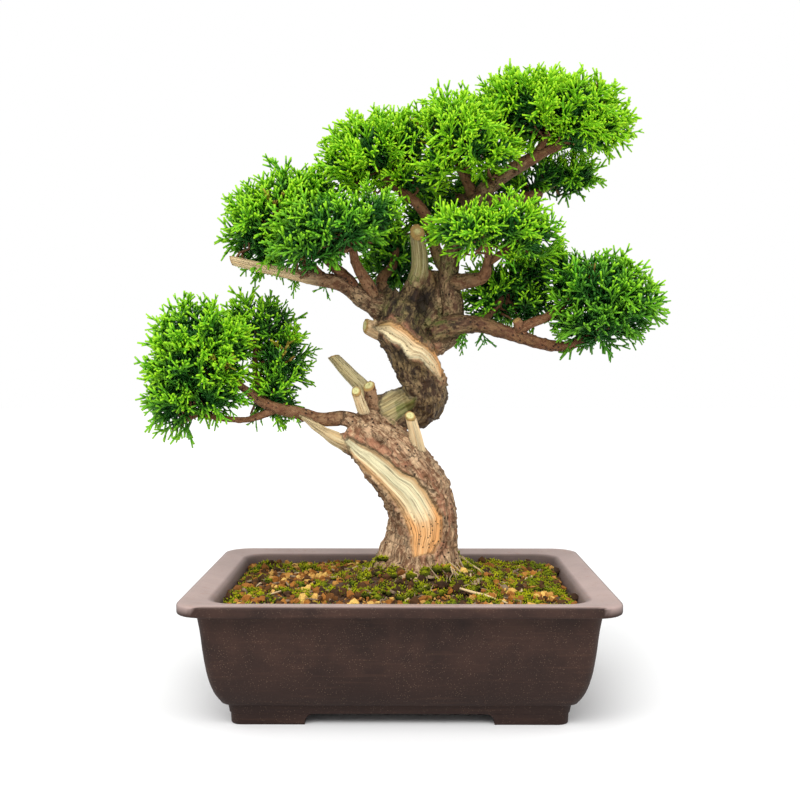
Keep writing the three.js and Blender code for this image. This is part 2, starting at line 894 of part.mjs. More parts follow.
/** Adds a shoot over a core's triangle: it narrows to a stem, which has three fingers and a tip. */
function addShoot(points, triangles, corners, foot, outward, height) {
  const sideways = corners.map((k) => {
    const away = points[k].clone().sub(foot);
    return away.addScaledVector(outward, -away.dot(outward)).normalize();
  });
  const rings = [corners];
  for (const [level, radius] of [
    [SHOOT.stem, SHOOT.radius],
    [SHOOT.fork, SHOOT.radius * SHOOT.taper],
  ]) {
    const middle = foot.clone().addScaledVector(outward, level * height);
    rings.push(sideways.map((away) => points.push(middle.clone().addScaledVector(away, radius)) - 1));
  }
  for (let k = 0; k < 2; k++)
    for (let i = 0; i < 3; i++) {
      const j = (i + 1) % 3;
      const [a, b, c, d] = [rings[k][i], rings[k][j], rings[k + 1][i], rings[k + 1][j]];
      if (k === 0) {
        triangles.push([a, b, d], [a, d, c]);
        continue;
      }
      const tip = foot
        .clone()
        .addScaledVector(outward, SHOOT.fingerLevel * height + SHOOT.finger)
        .addScaledVector(sideways[i], SHOOT.finger)
        .addScaledVector(sideways[j], SHOOT.finger);
      const e = points.push(tip) - 1;
      triangles.push([a, b, e], [b, d, e], [d, c, e], [c, a, e]);
    }
  addTuft(points, triangles, rings[2], foot.clone().addScaledVector(outward, height));
}

/** A whole clump: a core whose every face is drawn out into a tuft or a fingered shoot. */
function makeClump(clump, seed, woodHole) {
  const random = seededRandom(seed);
  const stretch = stretchOf(clump);
  const heart = new THREE.Vector3(...clump.heart);
  const geometry = new THREE.IcosahedronGeometry(1, FOLIAGE.detail);
  geometry.deleteAttribute("normal");
  geometry.deleteAttribute("uv");
  const sphere = mergeVertices(geometry, 1e-4);
  const position = sphere.attributes.position;
  const points = Array.from({ length: position.count }, (_, i) => {
    const direction = stretched(new THREE.Vector3().fromBufferAttribute(position, i), stretch);
    const share = TUFT.root * (1 + TUFT.uneven * (2 * random() - 1));
    return heart.clone().addScaledVector(direction, share * ownReach(clump, direction));
  });
  const index = Array.from(sphere.index.array);
  const triangles = [];
  for (let i = 0; i < index.length; i += 3) {
    const corners = index.slice(i, i + 3);
    const foot = new THREE.Vector3();
    corners.forEach((k) => foot.addScaledVector(points[k], 1 / 3));
    const radial = foot.clone().sub(heart).normalize();
    const full = ownReach(clump, radial);
    const depth = foot.distanceTo(heart);
    const beyond = heart.clone().addScaledVector(radial, SHOOT.clear * full);
    if (random() < SHOOT.share && owns(clump, beyond)) {
      addShoot(points, triangles, corners, foot, radial, full * SHOOT.reach - depth);
      continue;
    }
    const lean = new THREE.Vector3(random() - 0.5, random() - 0.5, random() - 0.35);
    const outward = radial.clone().addScaledVector(lean, TUFT.lean).normalize();
    const length = THREE.MathUtils.lerp(TUFT.shortest, TUFT.longest, random());
    const tip = foot.clone().addScaledVector(outward, (full * TUFT.reach - depth) * length);
    if (!owns(clump, tip)) tip.copy(foot).addScaledVector(radial, TUFT.held * full - depth);
    addTuft(points, triangles, corners, tip);
  }
  return largestBody(solidOf(points, triangles).subtract(woodHole));
}

const bonsai = new THREE.Group();
const woodHole = makeWood(WOOD_GAP);
bonsai.add(meshOf("pot", makePot(), 0x4a3630, 0.82));
bonsai.add(meshOf("drain_screen_left", makeScreen(-DRAIN.offset), 0x1d1f1e, 0.6));
bonsai.add(meshOf("drain_screen_right", makeScreen(DRAIN.offset), 0x1d1f1e, 0.6));
bonsai.add(meshOf("screen_clip_left", makeClip(-DRAIN.offset), 0x8b5a3c, 0.45));
bonsai.add(meshOf("screen_clip_right", makeClip(DRAIN.offset), 0x8b5a3c, 0.45));
bonsai.add(meshOf("soil", makeSoil(woodHole), 0x6b4a2a, 0.95));
bonsai.add(meshOf("trunk", makeWood(), 0x7a6250, 0.85));
Object.entries(CLUMPS).forEach(([name, clump], n) => {
  bonsai.add(meshOf(name, makeClump(clump, FOLIAGE.seed + n, woodHole), 0x3f8f1f, 0.7));
});

export default bonsai;
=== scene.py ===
"""A shimpaku juniper bonsai in its unglazed pot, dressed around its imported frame.

The tables of shapes are in millimetres, in the frame's own axes: +X is the viewer's right, +Y the
back and +Z up. Meshes are made in metres.
"""

import logging
import math
from dataclasses import dataclass, field
from enum import Enum
from itertools import product
from typing import Callable, Sequence

import bmesh
import bpy
import numpy as np
from mathutils import Matrix, Vector

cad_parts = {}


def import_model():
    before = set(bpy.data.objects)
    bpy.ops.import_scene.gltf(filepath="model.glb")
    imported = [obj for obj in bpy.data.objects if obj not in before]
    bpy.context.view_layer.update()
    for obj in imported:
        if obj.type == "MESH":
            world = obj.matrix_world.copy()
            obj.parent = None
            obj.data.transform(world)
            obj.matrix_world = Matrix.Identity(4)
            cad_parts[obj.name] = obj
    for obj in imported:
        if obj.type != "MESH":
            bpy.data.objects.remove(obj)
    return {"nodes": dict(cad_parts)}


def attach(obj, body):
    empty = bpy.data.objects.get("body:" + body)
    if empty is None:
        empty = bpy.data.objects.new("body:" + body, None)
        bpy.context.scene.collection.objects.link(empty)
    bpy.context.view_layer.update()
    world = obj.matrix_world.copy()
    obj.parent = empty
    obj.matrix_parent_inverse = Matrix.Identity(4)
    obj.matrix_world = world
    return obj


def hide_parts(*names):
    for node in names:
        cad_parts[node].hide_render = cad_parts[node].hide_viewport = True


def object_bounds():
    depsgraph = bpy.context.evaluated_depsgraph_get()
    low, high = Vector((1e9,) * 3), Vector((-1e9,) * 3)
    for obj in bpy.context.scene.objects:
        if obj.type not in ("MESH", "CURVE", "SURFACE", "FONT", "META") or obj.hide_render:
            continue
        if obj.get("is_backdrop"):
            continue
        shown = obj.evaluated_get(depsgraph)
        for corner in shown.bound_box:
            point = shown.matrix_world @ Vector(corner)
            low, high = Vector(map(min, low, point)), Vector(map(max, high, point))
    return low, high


MM = 0.001
# How far apart the limbs' bark is laid out flat, so that no two show the same pattern
BARK_APART = 90.0
# How far from a limb's middle line its skin is looked for: a share of its radius, and more
SEARCH_SHARE, SEARCH_MORE = 2.2, 5
UP = np.array([0.0, 0.0, 1.0])
FRONT = np.array([0.0, -1.0, 0.0])

log = logging.getLogger("bonsai")

Array = np.ndarray
Chance = np.random.Generator
Piece = bpy.types.Object
Material = bpy.types.Material
Row = tuple[float, ...]
Rows = tuple[Row, ...]
Section = Callable[[Array, Array], Array]


class Slot(Enum):
    """Names of material slots that are handed to dress with each piece but not read."""

    CLAY = "pot_clay"
    SOIL = "soil_granules"
    WOOD = "wood"
    FOLIAGE = "foliage"
    SCREEN = "screen_plastic"
    WIRE = "clip_wire"


# Small numeric helpers


def step(value: Array, low: float, high: float) -> Array:
    """A smooth step from 0 at low to 1 at high."""
    part = np.clip((value - low) / (high - low), 0, 1)
    return part * part * (3 - 2 * part)


def unit(vectors: Array) -> Array:
    """Vectors brought to length 1."""
    return vectors / np.maximum(np.linalg.norm(vectors, axis=-1, keepdims=True), 1e-9)


def colour(code: str) -> Row:
    """A linear colour with alpha from a six-digit screen colour code.

    Args:
        code: six hexadecimal digits.

    Returns:
        Red, green, blue and alpha, from 0 to 1.
    """
    parts = [int(code[i : i + 2], 16) / 255 for i in (0, 2, 4)]
    linear = [p / 12.92 if p <= 0.04045 else ((p + 0.055) / 1.055) ** 2.4 for p in parts]
    return (linear[0], linear[1], linear[2], 1)


@dataclass(frozen=True)
class Roughness:
    """Smooth random values over space, the same in each run."""

    seed: int

    def _code(self, cell: Array) -> Array:
        """A random whole number for each cell of space.

        Args:
            cell: whole numbers, one cell a row.

        Returns:
            One number a cell.
        """
        x, y, z = cell.T
        code = (x * 73856093) ^ (y * 19349663) ^ (z * 83492791) ^ (self.seed * 2654435761)
        code = ((code ^ (code >> 13)) * 1274126177) & 0xFFFFFFFF
        return code ^ (code >> 15)

    def at(self, points: Array) -> Array:
        """Values from -1 to 1.

        Args:
            points: places, one row each, with features one unit apart.

        Returns:
            One value for each row.
        """
        cell = np.floor(points).astype(np.int64)
        part = points - cell
        fade = part * part * (3 - 2 * part)
        total = np.zeros(len(points))
        for corner in product((0, 1), repeat=3):
            value = (self._code(cell + np.array(corner)) & 0xFFFF) / 32767.5 - 1
            weight = np.prod(np.where(np.array(corner) == 1, fade, 1.0 - fade), axis=1)
            total += value * weight
        return total

    def layered(self, points: Array, layers: int = 3) -> Array:
        """Several layers of values, each finer and half as strong as the one before.

        Args:
            points: places, one a row.
            layers: how many are added up.

        Returns:
            One value a place.
        """
        total = np.zeros(len(points))
        for k in range(layers):
            total += self.at(points * 2.0**k + 17.3 * k) / 2.0**k
        return total / (2 - 2 ** (1 - layers))

    def lumps(self, points: Array) -> Array:
        """Scattered lumps: 0 on the border between two of them and near 1 in a lump's middle.

        Args:
            points: places, one a row.

        Returns:
            One value a place.
        """
        cell = np.floor(points).astype(np.int64)
        nearest, next_one = np.full(len(points), 9.0), np.full(len(points), 9.0)
        for corner in product((-1, 0, 1), repeat=3):
            own = cell + np.array(corner)
            code = self._code(own)
            middle = own + np.stack([(code >> shift) & 1023 for shift in (0, 10, 20)], 1) / 1023
            away = np.linalg.norm(middle - points, axis=1)
            closer = away < nearest
            next_one = np.where(closer, nearest, np.minimum(next_one, away))
            nearest = np.where(closer, away, nearest)
        return np.clip(next_one - nearest, 0, 1)


# Mesh helpers


def deselect_all() -> None:
    """Leaves nothing selected, in object mode."""
    if bpy.context.object and bpy.context.object.mode != "OBJECT":
        bpy.ops.object.mode_set(mode="OBJECT")
    bpy.ops.object.select_all(action="DESELECT")


def activate(piece: Piece) -> None:
    """Selects one object and makes it the active one.

    Args:
        piece: the object.
    """
    deselect_all()
    piece.select_set(True)
    bpy.context.view_layer.objects.active = piece


def apply_modifier(piece: Piece, kind: str, **settings: object) -> None:
    """Adds a modifier with its settings and applies it.

    Args:
        piece: the object that it shapes.
        kind: the modifier's type.
        **settings: its settings by name.
    """
    activate(piece)
    modifier = piece.modifiers.new(kind.title(), kind)
    for key, value in settings.items():
        setattr(modifier, key, value)
    bpy.ops.object.modifier_apply(modifier=modifier.name)


def remove(piece: Piece) -> None:
    """Deletes an object that was only a tool or a template."""
    bpy.data.objects.remove(piece, do_unlink=True)


def triangles_of(piece: Piece) -> int:
    """The number of triangles in a piece.

    Args:
        piece: the piece.

    Returns:
        Their number, with larger faces cut up.
    """
    counts = np.zeros(len(piece.data.polygons), np.int32)
    piece.data.polygons.foreach_get("loop_total", counts)
    return int((counts - 2).sum())


@dataclass
class Shell:
    """Points and triangles on their way to a mesh, with a value per point for each named look.

    Attributes:
        points: places in millimetres.
        triangles: rows of three point numbers.
        looks: named values, one for each point, that the finish reads.
    """

    points: Array
    triangles: Array
    looks: dict[str, Array] = field(default_factory=dict)

    @staticmethod
    def joined(shells: Sequence["Shell"]) -> "Shell":
        """Several shells as one.

        Args:
            shells: shells that hold the same looks.

        Returns:
            One shell with all that they hold.
        """
        starts = np.cumsum([0] + [len(s.points) for s in shells[:-1]])
        names = shells[0].looks.keys()
        return Shell(
            np.concatenate([s.points for s in shells]),
            np.concatenate([s.triangles + start for s, start in zip(shells, starts)]),
            {n: np.concatenate([s.looks[n] for s in shells]) for n in names},
        )

    @staticmethod
    def of_object(piece: Piece) -> "Shell":
        """The shell of a modelled template of triangles only, which is then removed.

        Args:
            piece: the template.

        Returns:
            Its shell, without looks.
        """
        mesh = piece.data
        points = np.zeros(len(mesh.vertices) * 3)
        mesh.vertices.foreach_get("co", points)
        corners = np.zeros(len(mesh.loops), np.int64)
        mesh.loops.foreach_get("vertex_index", corners)
        remove(piece)
        return Shell(points.reshape(-1, 3) / MM, corners.reshape(-1, 3))

    def placed(self, at: Array, turn: Array, scale: Array, **own_looks: Array) -> "Shell":
        """Copies of this shell, each with its own place, turn, scale and looks.

        Args:
            at: a place for each copy.
            turn: a 3 by 3 turn for each copy, its columns being the copy's own axes.
            scale: a scale along each own axis for each copy.
            **own_looks: a value of each named look for each copy.

        Returns:
            One shell that holds all the copies.
        """
        count = len(at)
        own = self.points[None] * scale[:, None, :]
        moved = np.einsum("nij,nkj->nki", turn, own) + at[:, None, :]
        starts = np.arange(count)[:, None, None] * len(self.points)
        triangles = (self.triangles[None] + starts).reshape(-1, 3)
        looks = {n: np.tile(v, count) for n, v in self.looks.items()}
        looks |= {n: np.repeat(v, len(self.points)) for n, v in own_looks.items()}
        return Shell(moved.reshape(-1, 3), triangles, looks)

    def normals(self) -> Array:
        """The direction that the shell faces at each point.

        Returns:
            One direction a point.
        """
        a, b, c = (self.points[self.triangles[:, k]] for k in range(3))
        faces = np.cross(b - a, c - a)
        total = np.zeros_like(self.points)
        for k in range(3):
            for axis in range(3):
                weights = faces[:, axis]
                total[:, axis] += np.bincount(self.triangles[:, k], weights, len(self.points))
        return unit(total)

    def mesh_object(self, name: str, smooth: bool = True) -> Piece:
        """The shell as an object in the scene, with its looks as attributes.

        Args:
            name: the object's name.
            smooth: whether it is shaded smooth.

        Returns:
            The object.
        """
        mesh = bpy.data.meshes.new(name)
        mesh.vertices.add(len(self.points))
        mesh.vertices.foreach_set("co", (self.points * MM).astype(np.float32).ravel())
        mesh.loops.add(self.triangles.size)
        mesh.loops.foreach_set("vertex_index", self.triangles.astype(np.int32).ravel())
        mesh.polygons.add(len(self.triangles))
        mesh.polygons.foreach_set("loop_start", np.arange(len(self.triangles), dtype=np.int32) * 3)
        mesh.polygons.foreach_set("use_smooth", np.full(len(self.triangles), smooth))
        mesh.update(calc_edges=True)
        for look, values in self.looks.items():
            put_look(mesh, look, values)
        piece = bpy.data.objects.new(name, mesh)
        bpy.context.scene.collection.objects.link(piece)
        return piece


def put_look(mesh: bpy.types.Mesh, name: str, values: Array) -> None:
    """Stores a value or a vector for each point of a mesh, for its finish to read.

    Args:
        mesh: the mesh that gets it.
        name: the look's name.
        values: a value or a vector a point.
    """
    kind, key = ("FLOAT", "value") if values.ndim == 1 else ("FLOAT_VECTOR", "vector")
    attribute = mesh.attributes.new(name, kind, "POINT")
    attribute.data.foreach_set(key, values.astype(np.float32).ravel())


def turns_towards(along: Array, roll: Array) -> Array:
    """Turns that lay each copy's own Z axis along a direction.

    Args:
        along: a direction for each copy.
        roll: the angle by which each copy is turned about that direction.

    Returns:
        A 3 by 3 turn for each copy.
    """
    z = unit(along)
    helper = np.where(np.abs(z[:, 2:]) < 0.9, UP, np.array([1.0, 0.0, 0.0]))
    x = unit(np.cross(helper, z))
    y = np.cross(z, x)
    c, s = np.cos(roll)[:, None], np.sin(roll)[:, None]
    return np.stack([x * c + y * s, y * c - x * s, z], axis=2)


def ball(subdivisions: int, uneven: float = 0.0, alike: float = 0.0, seed: int = 0) -> Shell:
    """A ball of radius 1, its points moved at random by a share of that.

    Args:
        subdivisions: how finely it is divided.
        uneven: how far its points are moved.
        alike: how far they all move alike, from 0 to 1.
        seed: the seed of that.

    Returns:
        The ball's shell.
    """
    deselect_all()
    bpy.ops.mesh.primitive_ico_sphere_add(subdivisions=subdivisions, radius=MM)
    if uneven:
        bpy.ops.object.mode_set(mode="EDIT")
        bpy.ops.mesh.select_all(action="SELECT")
        bpy.ops.transform.vertex_random(offset=uneven * MM, uniform=alike, seed=seed)
        bpy.ops.object.mode_set(mode="OBJECT")
    return Shell.of_object(bpy.context.object)


def three_sided_shoot(end: float) -> Shell:
    """A shoot of length 1 along Z and of radius 1 at its foot, with the given radius at its end.

    Args:
        end: the radius at its end.

    Returns:
        The shoot.
    """
    deselect_all()
    middle = (0, 0, 0.5 * MM)
    bpy.ops.mesh.primitive_cone_add(
        vertices=3, radius1=MM, radius2=end * MM, depth=MM, location=middle
    )
    bpy.ops.object.mode_set(mode="EDIT")
    bpy.ops.mesh.select_all(action="SELECT")
    bpy.ops.mesh.quads_convert_to_tris()
    bpy.ops.object.mode_set(mode="OBJECT")
    bpy.ops.object.transform_apply(location=True, rotation=False, scale=False)
    return Shell.of_object(bpy.context.object)


# Shader maths


class Signal:
    """A socket of a finish's nodes that takes part in Python arithmetic."""

    def __init__(self, graph: "Graph", socket: bpy.types.NodeSocket) -> None:
        """Wraps an output socket of a graph."""
        self.graph = graph
        self.socket = socket

    def _math(self, operation: str, *values: "Signal | float") -> "Signal":
        """The output of a Math node on these values."""
        inputs = dict(enumerate(values))
        return self.graph.node("ShaderNodeMath", {"operation": operation}, inputs)

    def __add__(self, other: "Signal | float") -> "Signal":
        """This plus another value."""
        return self._math("ADD", self, other)

    def __sub__(self, other: "Signal | float") -> "Signal":
        """This minus another value."""
        return self._math("SUBTRACT", self, other)

    def __rsub__(self, other: "Signal | float") -> "Signal":
        """Another value minus this."""
        return self._math("SUBTRACT", other, self)

    def __mul__(self, other: "Signal | float") -> "Signal":
        """This times another value."""
        return self._math("MULTIPLY", self, other)

    __radd__ = __add__
    __rmul__ = __mul__

    def clamped(self) -> "Signal":
        """This, held between 0 and 1."""
        return self._math("MAXIMUM", self._math("MINIMUM", self, 1), 0)

    def step(self, low: float, high: float) -> "Signal":
        """A smooth step from 0 at low to 1 at high.

        Args:
            low: where it leaves 0.
            high: where it reaches 1.

        Returns:
            The stepped values.
        """
        settings = {"interpolation_type": "SMOOTHSTEP"}
        inputs = {"Value": self, "From Min": low, "From Max": high}
        return self.graph.node("ShaderNodeMapRange", settings, inputs)


Value = Signal | float | str | Row


class Graph:
    """The nodes of one finish."""

    def __init__(self, name: str) -> None:
        """Starts a material with an output and nothing else.

        Args:
            name: the material's name.
        """
        self.material = bpy.data.materials.new(name)
        self.material.use_nodes = True
        self.tree = self.material.node_tree
        self.tree.nodes.clear()

    def node(
        self,
        kind: str,
        settings: dict[str, object] | None = None,
        inputs: dict[int | str, Value] | None = None,
        output: int | str = 0,
    ) -> Signal:
        """Adds a node.

        Args:
            kind: the node's type.
            settings: its properties, which are set first. "stops" are a ramp's places and colours.
            inputs: values, colour codes or signals for its sockets, by name or number.
            output: the socket to hand back.

        Returns:
            The signal of that output.
        """
        node = self.tree.nodes.new(kind)
        for key, value in (settings or {}).items():
            if key == "stops":
                self._set_stops(node, value)
            else:
                setattr(node, key, value)
        for key, value in (inputs or {}).items():
            if isinstance(value, Signal):
                self.tree.links.new(value.socket, node.inputs[key])
            else:
                plain = colour(value) if isinstance(value, str) else value
                node.inputs[key].default_value = plain
        return Signal(self, node.outputs[output])

    @staticmethod
    def _set_stops(node: bpy.types.Node, stops: Sequence[tuple[float, str]]) -> None:
        """Gives a colour ramp its stops.

        Args:
            node: the ramp.
            stops: the place of each, from 0 to 1, and its colour.
        """
        elements = node.color_ramp.elements
        while len(elements) < len(stops):
            elements.new(0.5)
        for element, (place, tint) in zip(elements, stops):
            element.position = place
            element.color = colour(tint)

    def own_place(self) -> Signal:
        """A point's place on the piece, in metres."""
        return self.node("ShaderNodeTexCoord", output="Object")

    def look(self, name: str, output: str = "Fac") -> Signal:
        """A value or vector that the piece's mesh holds under a name."""
        return self.node("ShaderNodeAttribute", {"attribute_name": name}, output=output)

    def stretched(self, place: Signal, scale: Row) -> Signal:
        """Places scaled along each axis."""
        settings = {"vector_type": "POINT"}
        return self.node("ShaderNodeMapping", settings, {"Vector": place, "Scale": scale})

    def noise(self, place: Signal, scale: float, detail: float = 2.0, rough: float = 0.5) -> Signal:
        """Smooth noise from 0 to 1."""
        inputs = {"Vector": place, "Scale": scale, "Detail": detail, "Roughness": rough}
        return self.node("ShaderNodeTexNoise", None, inputs)

    def warped(self, place: Signal, scale: float, amount: float) -> Signal:
        """Places shifted by smooth noise, by up to half the amount each way.

        Args:
            place: the places.
            scale: the noise's scale.
            amount: how far it shifts.

        Returns:
            The shifted places.
        """
        inputs = {"Vector": place, "Scale": scale, "Detail": 2}
        wobble = self.node("ShaderNodeTexNoise", None, inputs, "Color")
        settings = {"operation": "MULTIPLY_ADD"}
        return self.node("ShaderNodeVectorMath", settings, {0: wobble, 1: (amount,) * 3, 2: place})

    def cells(self, place: Signal, scale: float, feature: str = "F1") -> Signal:
        """The distance to the nearest of scattered points, or to the edge between two cells."""
        inputs = {"Vector": place, "Scale": scale}
        return self.node("ShaderNodeTexVoronoi", {"feature": feature}, inputs, "Distance")

    def mix(self, first: Value, second: Value, factor: Signal | float) -> Signal:
        """Two colours mixed by a factor."""
        settings = {"data_type": "RGBA", "clamp_factor": True}
        return self.node("ShaderNodeMix", settings, {0: factor, 6: first, 7: second}, 2)

    def coated(self, tint: Value, *coats: tuple[Value, Signal | float]) -> Signal:
        """A colour under coats of others, each with its factor.

        Args:
            tint: the colour underneath.
            *coats: each coat's colour and factor.

        Returns:
            The colour that shows.
        """
        for coat, factor in coats:
            tint = self.mix(tint, coat, factor)
        return tint

    def ramp(self, factor: Signal, *stops: tuple[float, str]) -> Signal:
        """A colour from a ramp."""
        return self.node("ShaderNodeValToRGB", {"stops": stops}, {"Fac": factor})

    def bump(self, height: Signal, distance: float, strength: float = 1.0) -> Signal:
        """A normal from a height, with the distance that a height of 1 stands for."""
        inputs = {"Height": height, "Distance": distance, "Strength": strength}
        return self.node("ShaderNodeBump", None, inputs, "Normal")

    def surface(self, **sockets: Value) -> Material:
        """Ends the finish in a plain surface.

        Args:
            **sockets: the shader's sockets by name, with underscores for spaces.

        Returns:
            The finished material.
        """
        inputs = {key.replace("_", " "): value for key, value in sockets.items()}
        shader = self.node("ShaderNodeBsdfPrincipled", None, inputs)
        output = self.tree.nodes.new("ShaderNodeOutputMaterial")
        self.tree.links.new(shader.socket, output.inputs["Surface"])
        return self.material


# Finishes


@dataclass(frozen=True)
class UnglazedClay:
    """Dark brown fired clay with fine tan specks, faint throwing streaks and a worn rim, with a painted
    reflection that pales the rim's top, painted light on the inner wall and painted shade towards the
    feet.
    """

    body: str = "3a251d"
    dark: str = "251510"
    # paler colour for the painted reflection on the rim's top and the painted light on the inner wall
    rim: str = "c2aaa3"
    speck: str = "a58a72"
    wear: str = "9a6f55"
    # Heights in metres between which painted shade darkens the pot towards its feet.
    low: float = 0.02
    high: float = 0.07

    def build(self) -> Material:
        """Makes the material.

        Returns:
            The material.
        """
        g = Graph("unglazed_clay")
        place = g.own_place()
        height = g.node("ShaderNodeSeparateXYZ", None, {"Vector": place}, "Z")
        # painted light: a painted reflection on the rim's top and painted light on the inner wall, less at
        # the back
        top = g.look("top")
        clouds = g.noise(place, 34, 4, 0.6)
        streaks = g.noise(g.stretched(place, (18, 18, 420)), 1, 3)
        worn = top * g.noise(place, 130, 4, 0.7).step(0.56, 0.7)
        specks = g.cells(place, 700).step(0.24, 0.08) * g.noise(place, 90).step(0.3, 0.6)
        tint = g.coated(
            self.dark,
            (self.body, clouds.step(0.25, 0.7)),
            # painted shade, darker towards the feet
            (self.dark, height.step(self.high, self.low) * 0.8),
            (self.wear, streaks.step(0.5, 0.85) * 0.06),
            # painted reflection and painted light on the rim's top and inner wall
            (self.rim, top * (0.55 + clouds * 0.3)),
            (self.wear, worn * 0.35),
            (self.speck, specks * 0.35),
        )
        grit = g.noise(place, 2600, 3, 0.7)
        rough = 0.6 + grit * 0.12 - top * 0.22
        normal = g.bump(grit * 0.25 + clouds * 0.6 + streaks * 0.3, 0.0006, 0.6)
        return g.surface(Base_Color=tint, Roughness=rough, Specular_IOR_Level=0.26, Normal=normal)


@dataclass(frozen=True)
class JuniperWood:
    """Flaky bark with bare weathered wood, green-stained deadwood and pale cut ends, darkened with painted
    shade in its crevices, hollows and undersides and under the bark's lip.
    """

    pale: str = "d3b28c"
    mid: str = "6e4e34"
    dark: str = "1c120b"
    old_pale: str = "86704a"
    old_mid: str = "2a1d11"
    salmon: str = "b07a5c"
    twig: str = "754526"
    cream: str = "fff4c8"
    tan: str = "f2b270"
    fibre: str = "7a4c2a"
    stain: str = "6a7434"
    cut: str = "dcd596"
    cut_rim: str = "b08a52"

    def build(self) -> Material:
        """Makes the material.

        Returns:
            The material.
        """
        g = Graph("juniper_wood")
        bark, bark_height = self._bark(g)
        bare, bare_height = self._bare(g)
        shown, cut = g.look("bare"), g.look("cut")
        rings = g.noise(g.own_place(), 520, 3).step(0.5, 0.7)
        end = g.coated(self.cut_rim, (self.cut, cut.step(0.55, 0.85)), (self.stain, rings * 0.5))
        tint = g.coated(bark, (bare, shown), (end, cut.step(0.05, 0.3)))
        height = bark_height * (1 - shown) + bare_height * shown
        normal = g.bump(height, 0.0026, 1)
        rough = 0.8 - shown * 0.14 - g.look("age") * 0.2
        return g.surface(Base_Color=tint, Roughness=rough, Specular_IOR_Level=0.3, Normal=normal)

    def _bark(self, g: Graph) -> tuple[Signal, Signal]:
        """The tint and the relief of bark.

        Args:
            g: the wood's graph.

        Returns:
            The colour and the height.
        """
        place = g.own_place()
        grain = g.warped(g.look("grain", "Vector"), 90, 0.007)
        blotches = g.noise(g.stretched(grain, (120, 120, 80)), 1, 5, 0.7)
        flakes = g.noise(g.stretched(grain, (420, 420, 260)), 1, 5, 0.75)
        strips = g.noise(g.stretched(grain, (210, 210, 60)), 1, 4, 0.65)
        edges = g.cells(g.stretched(grain, (150, 150, 90)), 1, "DISTANCE_TO_EDGE")
        cracks = edges.step(0.1, 0.02) * blotches.step(0.5, 0.62) * (1 - g.look("twig"))
        pits = g.cells(place, 250).step(0.27, 0.13) * g.noise(place, 70).step(0.4, 0.55)
        age = g.look("age")
        tint = g.coated(
            g.mix(self.mid, self.old_mid, age),
            (g.mix(self.pale, self.old_pale, age), (flakes * 0.45 + blotches * 0.55).step(0.44, 0.57)),
            (self.salmon, strips.step(0.4, 0.6) * g.look("salmon")),
            (self.twig, g.look("twig") * (0.35 + blotches * 0.6)),
            (self.dark, strips.step(0.42, 0.28) * (0.3 + age * 0.4)),
            (self.dark, flakes.step(0.4, 0.28) * 0.7),
            (self.dark, cracks * 0.6),
            (self.dark, pits * 0.85),
            (self.stain, g.look("stain") * blotches.step(0.42, 0.62) * 0.9),
            # painted shade in crevices, on undersides, on knobs' shaded sides and in the crown's hollow
            (self.dark, g.look("hollow") * 0.92),
        )
        height = flakes * 0.6 + strips * 0.4 + blotches * 0.6 - pits * 0.5 - cracks * 0.6
        return tint, height

    def _bare(self, g: Graph) -> tuple[Signal, Signal]:
        """The tint and the relief of bare wood, in strands that follow the stripe it lies in.

        Args:
            g: the wood's graph.

        Returns:
            The colour and the height.
        """
        strand = g.look("strand", "Vector")
        bands = g.noise(g.stretched(strand, (9, 1.1, 1)), 1, 3, 0.6)
        fibres = g.noise(g.stretched(strand, (34, 1.8, 1)), 1, 4, 0.65)
        lines = g.noise(g.stretched(strand, (13, 0.9, 1)), 1, 2, 0.5)
        crack = lines.step(0.475, 0.5) * lines.step(0.525, 0.5)
        warm = (g.look("warm") + (bands - 0.5) * 1.3).clamped()
        pits = g.cells(g.own_place(), 330).step(0.24, 0.1) * g.look("pitted")
        tint = g.coated(
            self.cream,
            (self.tan, warm),
            (self.stain, (g.look("stain") * (0.35 + bands)).clamped()),
            (self.fibre, fibres.step(0.54, 0.74) * (0.1 + warm * 0.3)),
            (self.fibre, crack * 0.35),
            (self.dark, pits),
            # painted shade under the bark's lip
            (self.dark, g.look("hollow") * 0.85),
        )
        return tint, fibres * 0.4 + bands * 0.4 - crack * 0.35 - pits * 0.6


@dataclass(frozen=True)
class ScaleLeaves:
    """Fresh scale leaves: lime at the tips and mid green along the shoots, with painted shade that darkens
    them deep inside a clump and low in it.
    """

    tip: str = "aee012"
    fresh_and_lit: str = "8ed216"
    leaf: str = "50a616"
    shade: str = "22601a"
    old: str = "a5762e"

    def build(self) -> Material:
        """Makes the material.

        Returns:
            The material.
        """
        g = Graph("scale_leaves")
        # The depth look is painted light: dark shade green where a clump's inside and lower part lie in
        # shade, paler and lime where it is lit.
        tip, depth, tone = g.look("tip"), g.look("depth"), g.look("tone")
        clouds = g.noise(g.own_place(), 45, 3)
        fresh_and_lit = (tone * 0.7 + clouds.step(0.35, 0.65) * 0.4).clamped()
        lime = tip.step(0.6, 1) * depth.step(0.3, 0.8) * (0.3 + tone * 0.6)
        tint = g.coated(
            self.shade,
            (g.mix(self.leaf, self.fresh_and_lit, fresh_and_lit), depth.step(0, 0.75)),
            (self.fresh_and_lit, tip.step(0.45, 0.9) * depth.step(0.25, 0.75) * 0.6),
            (self.tip, lime),
            (self.old, g.look("old") * 0.65),
        )
        normal = g.bump(g.noise(g.own_place(), 1500, 2), 0.0003, 0.6)
        return g.surface(Base_Color=tint, Roughness=0.5, Specular_IOR_Level=0.3, Normal=normal)


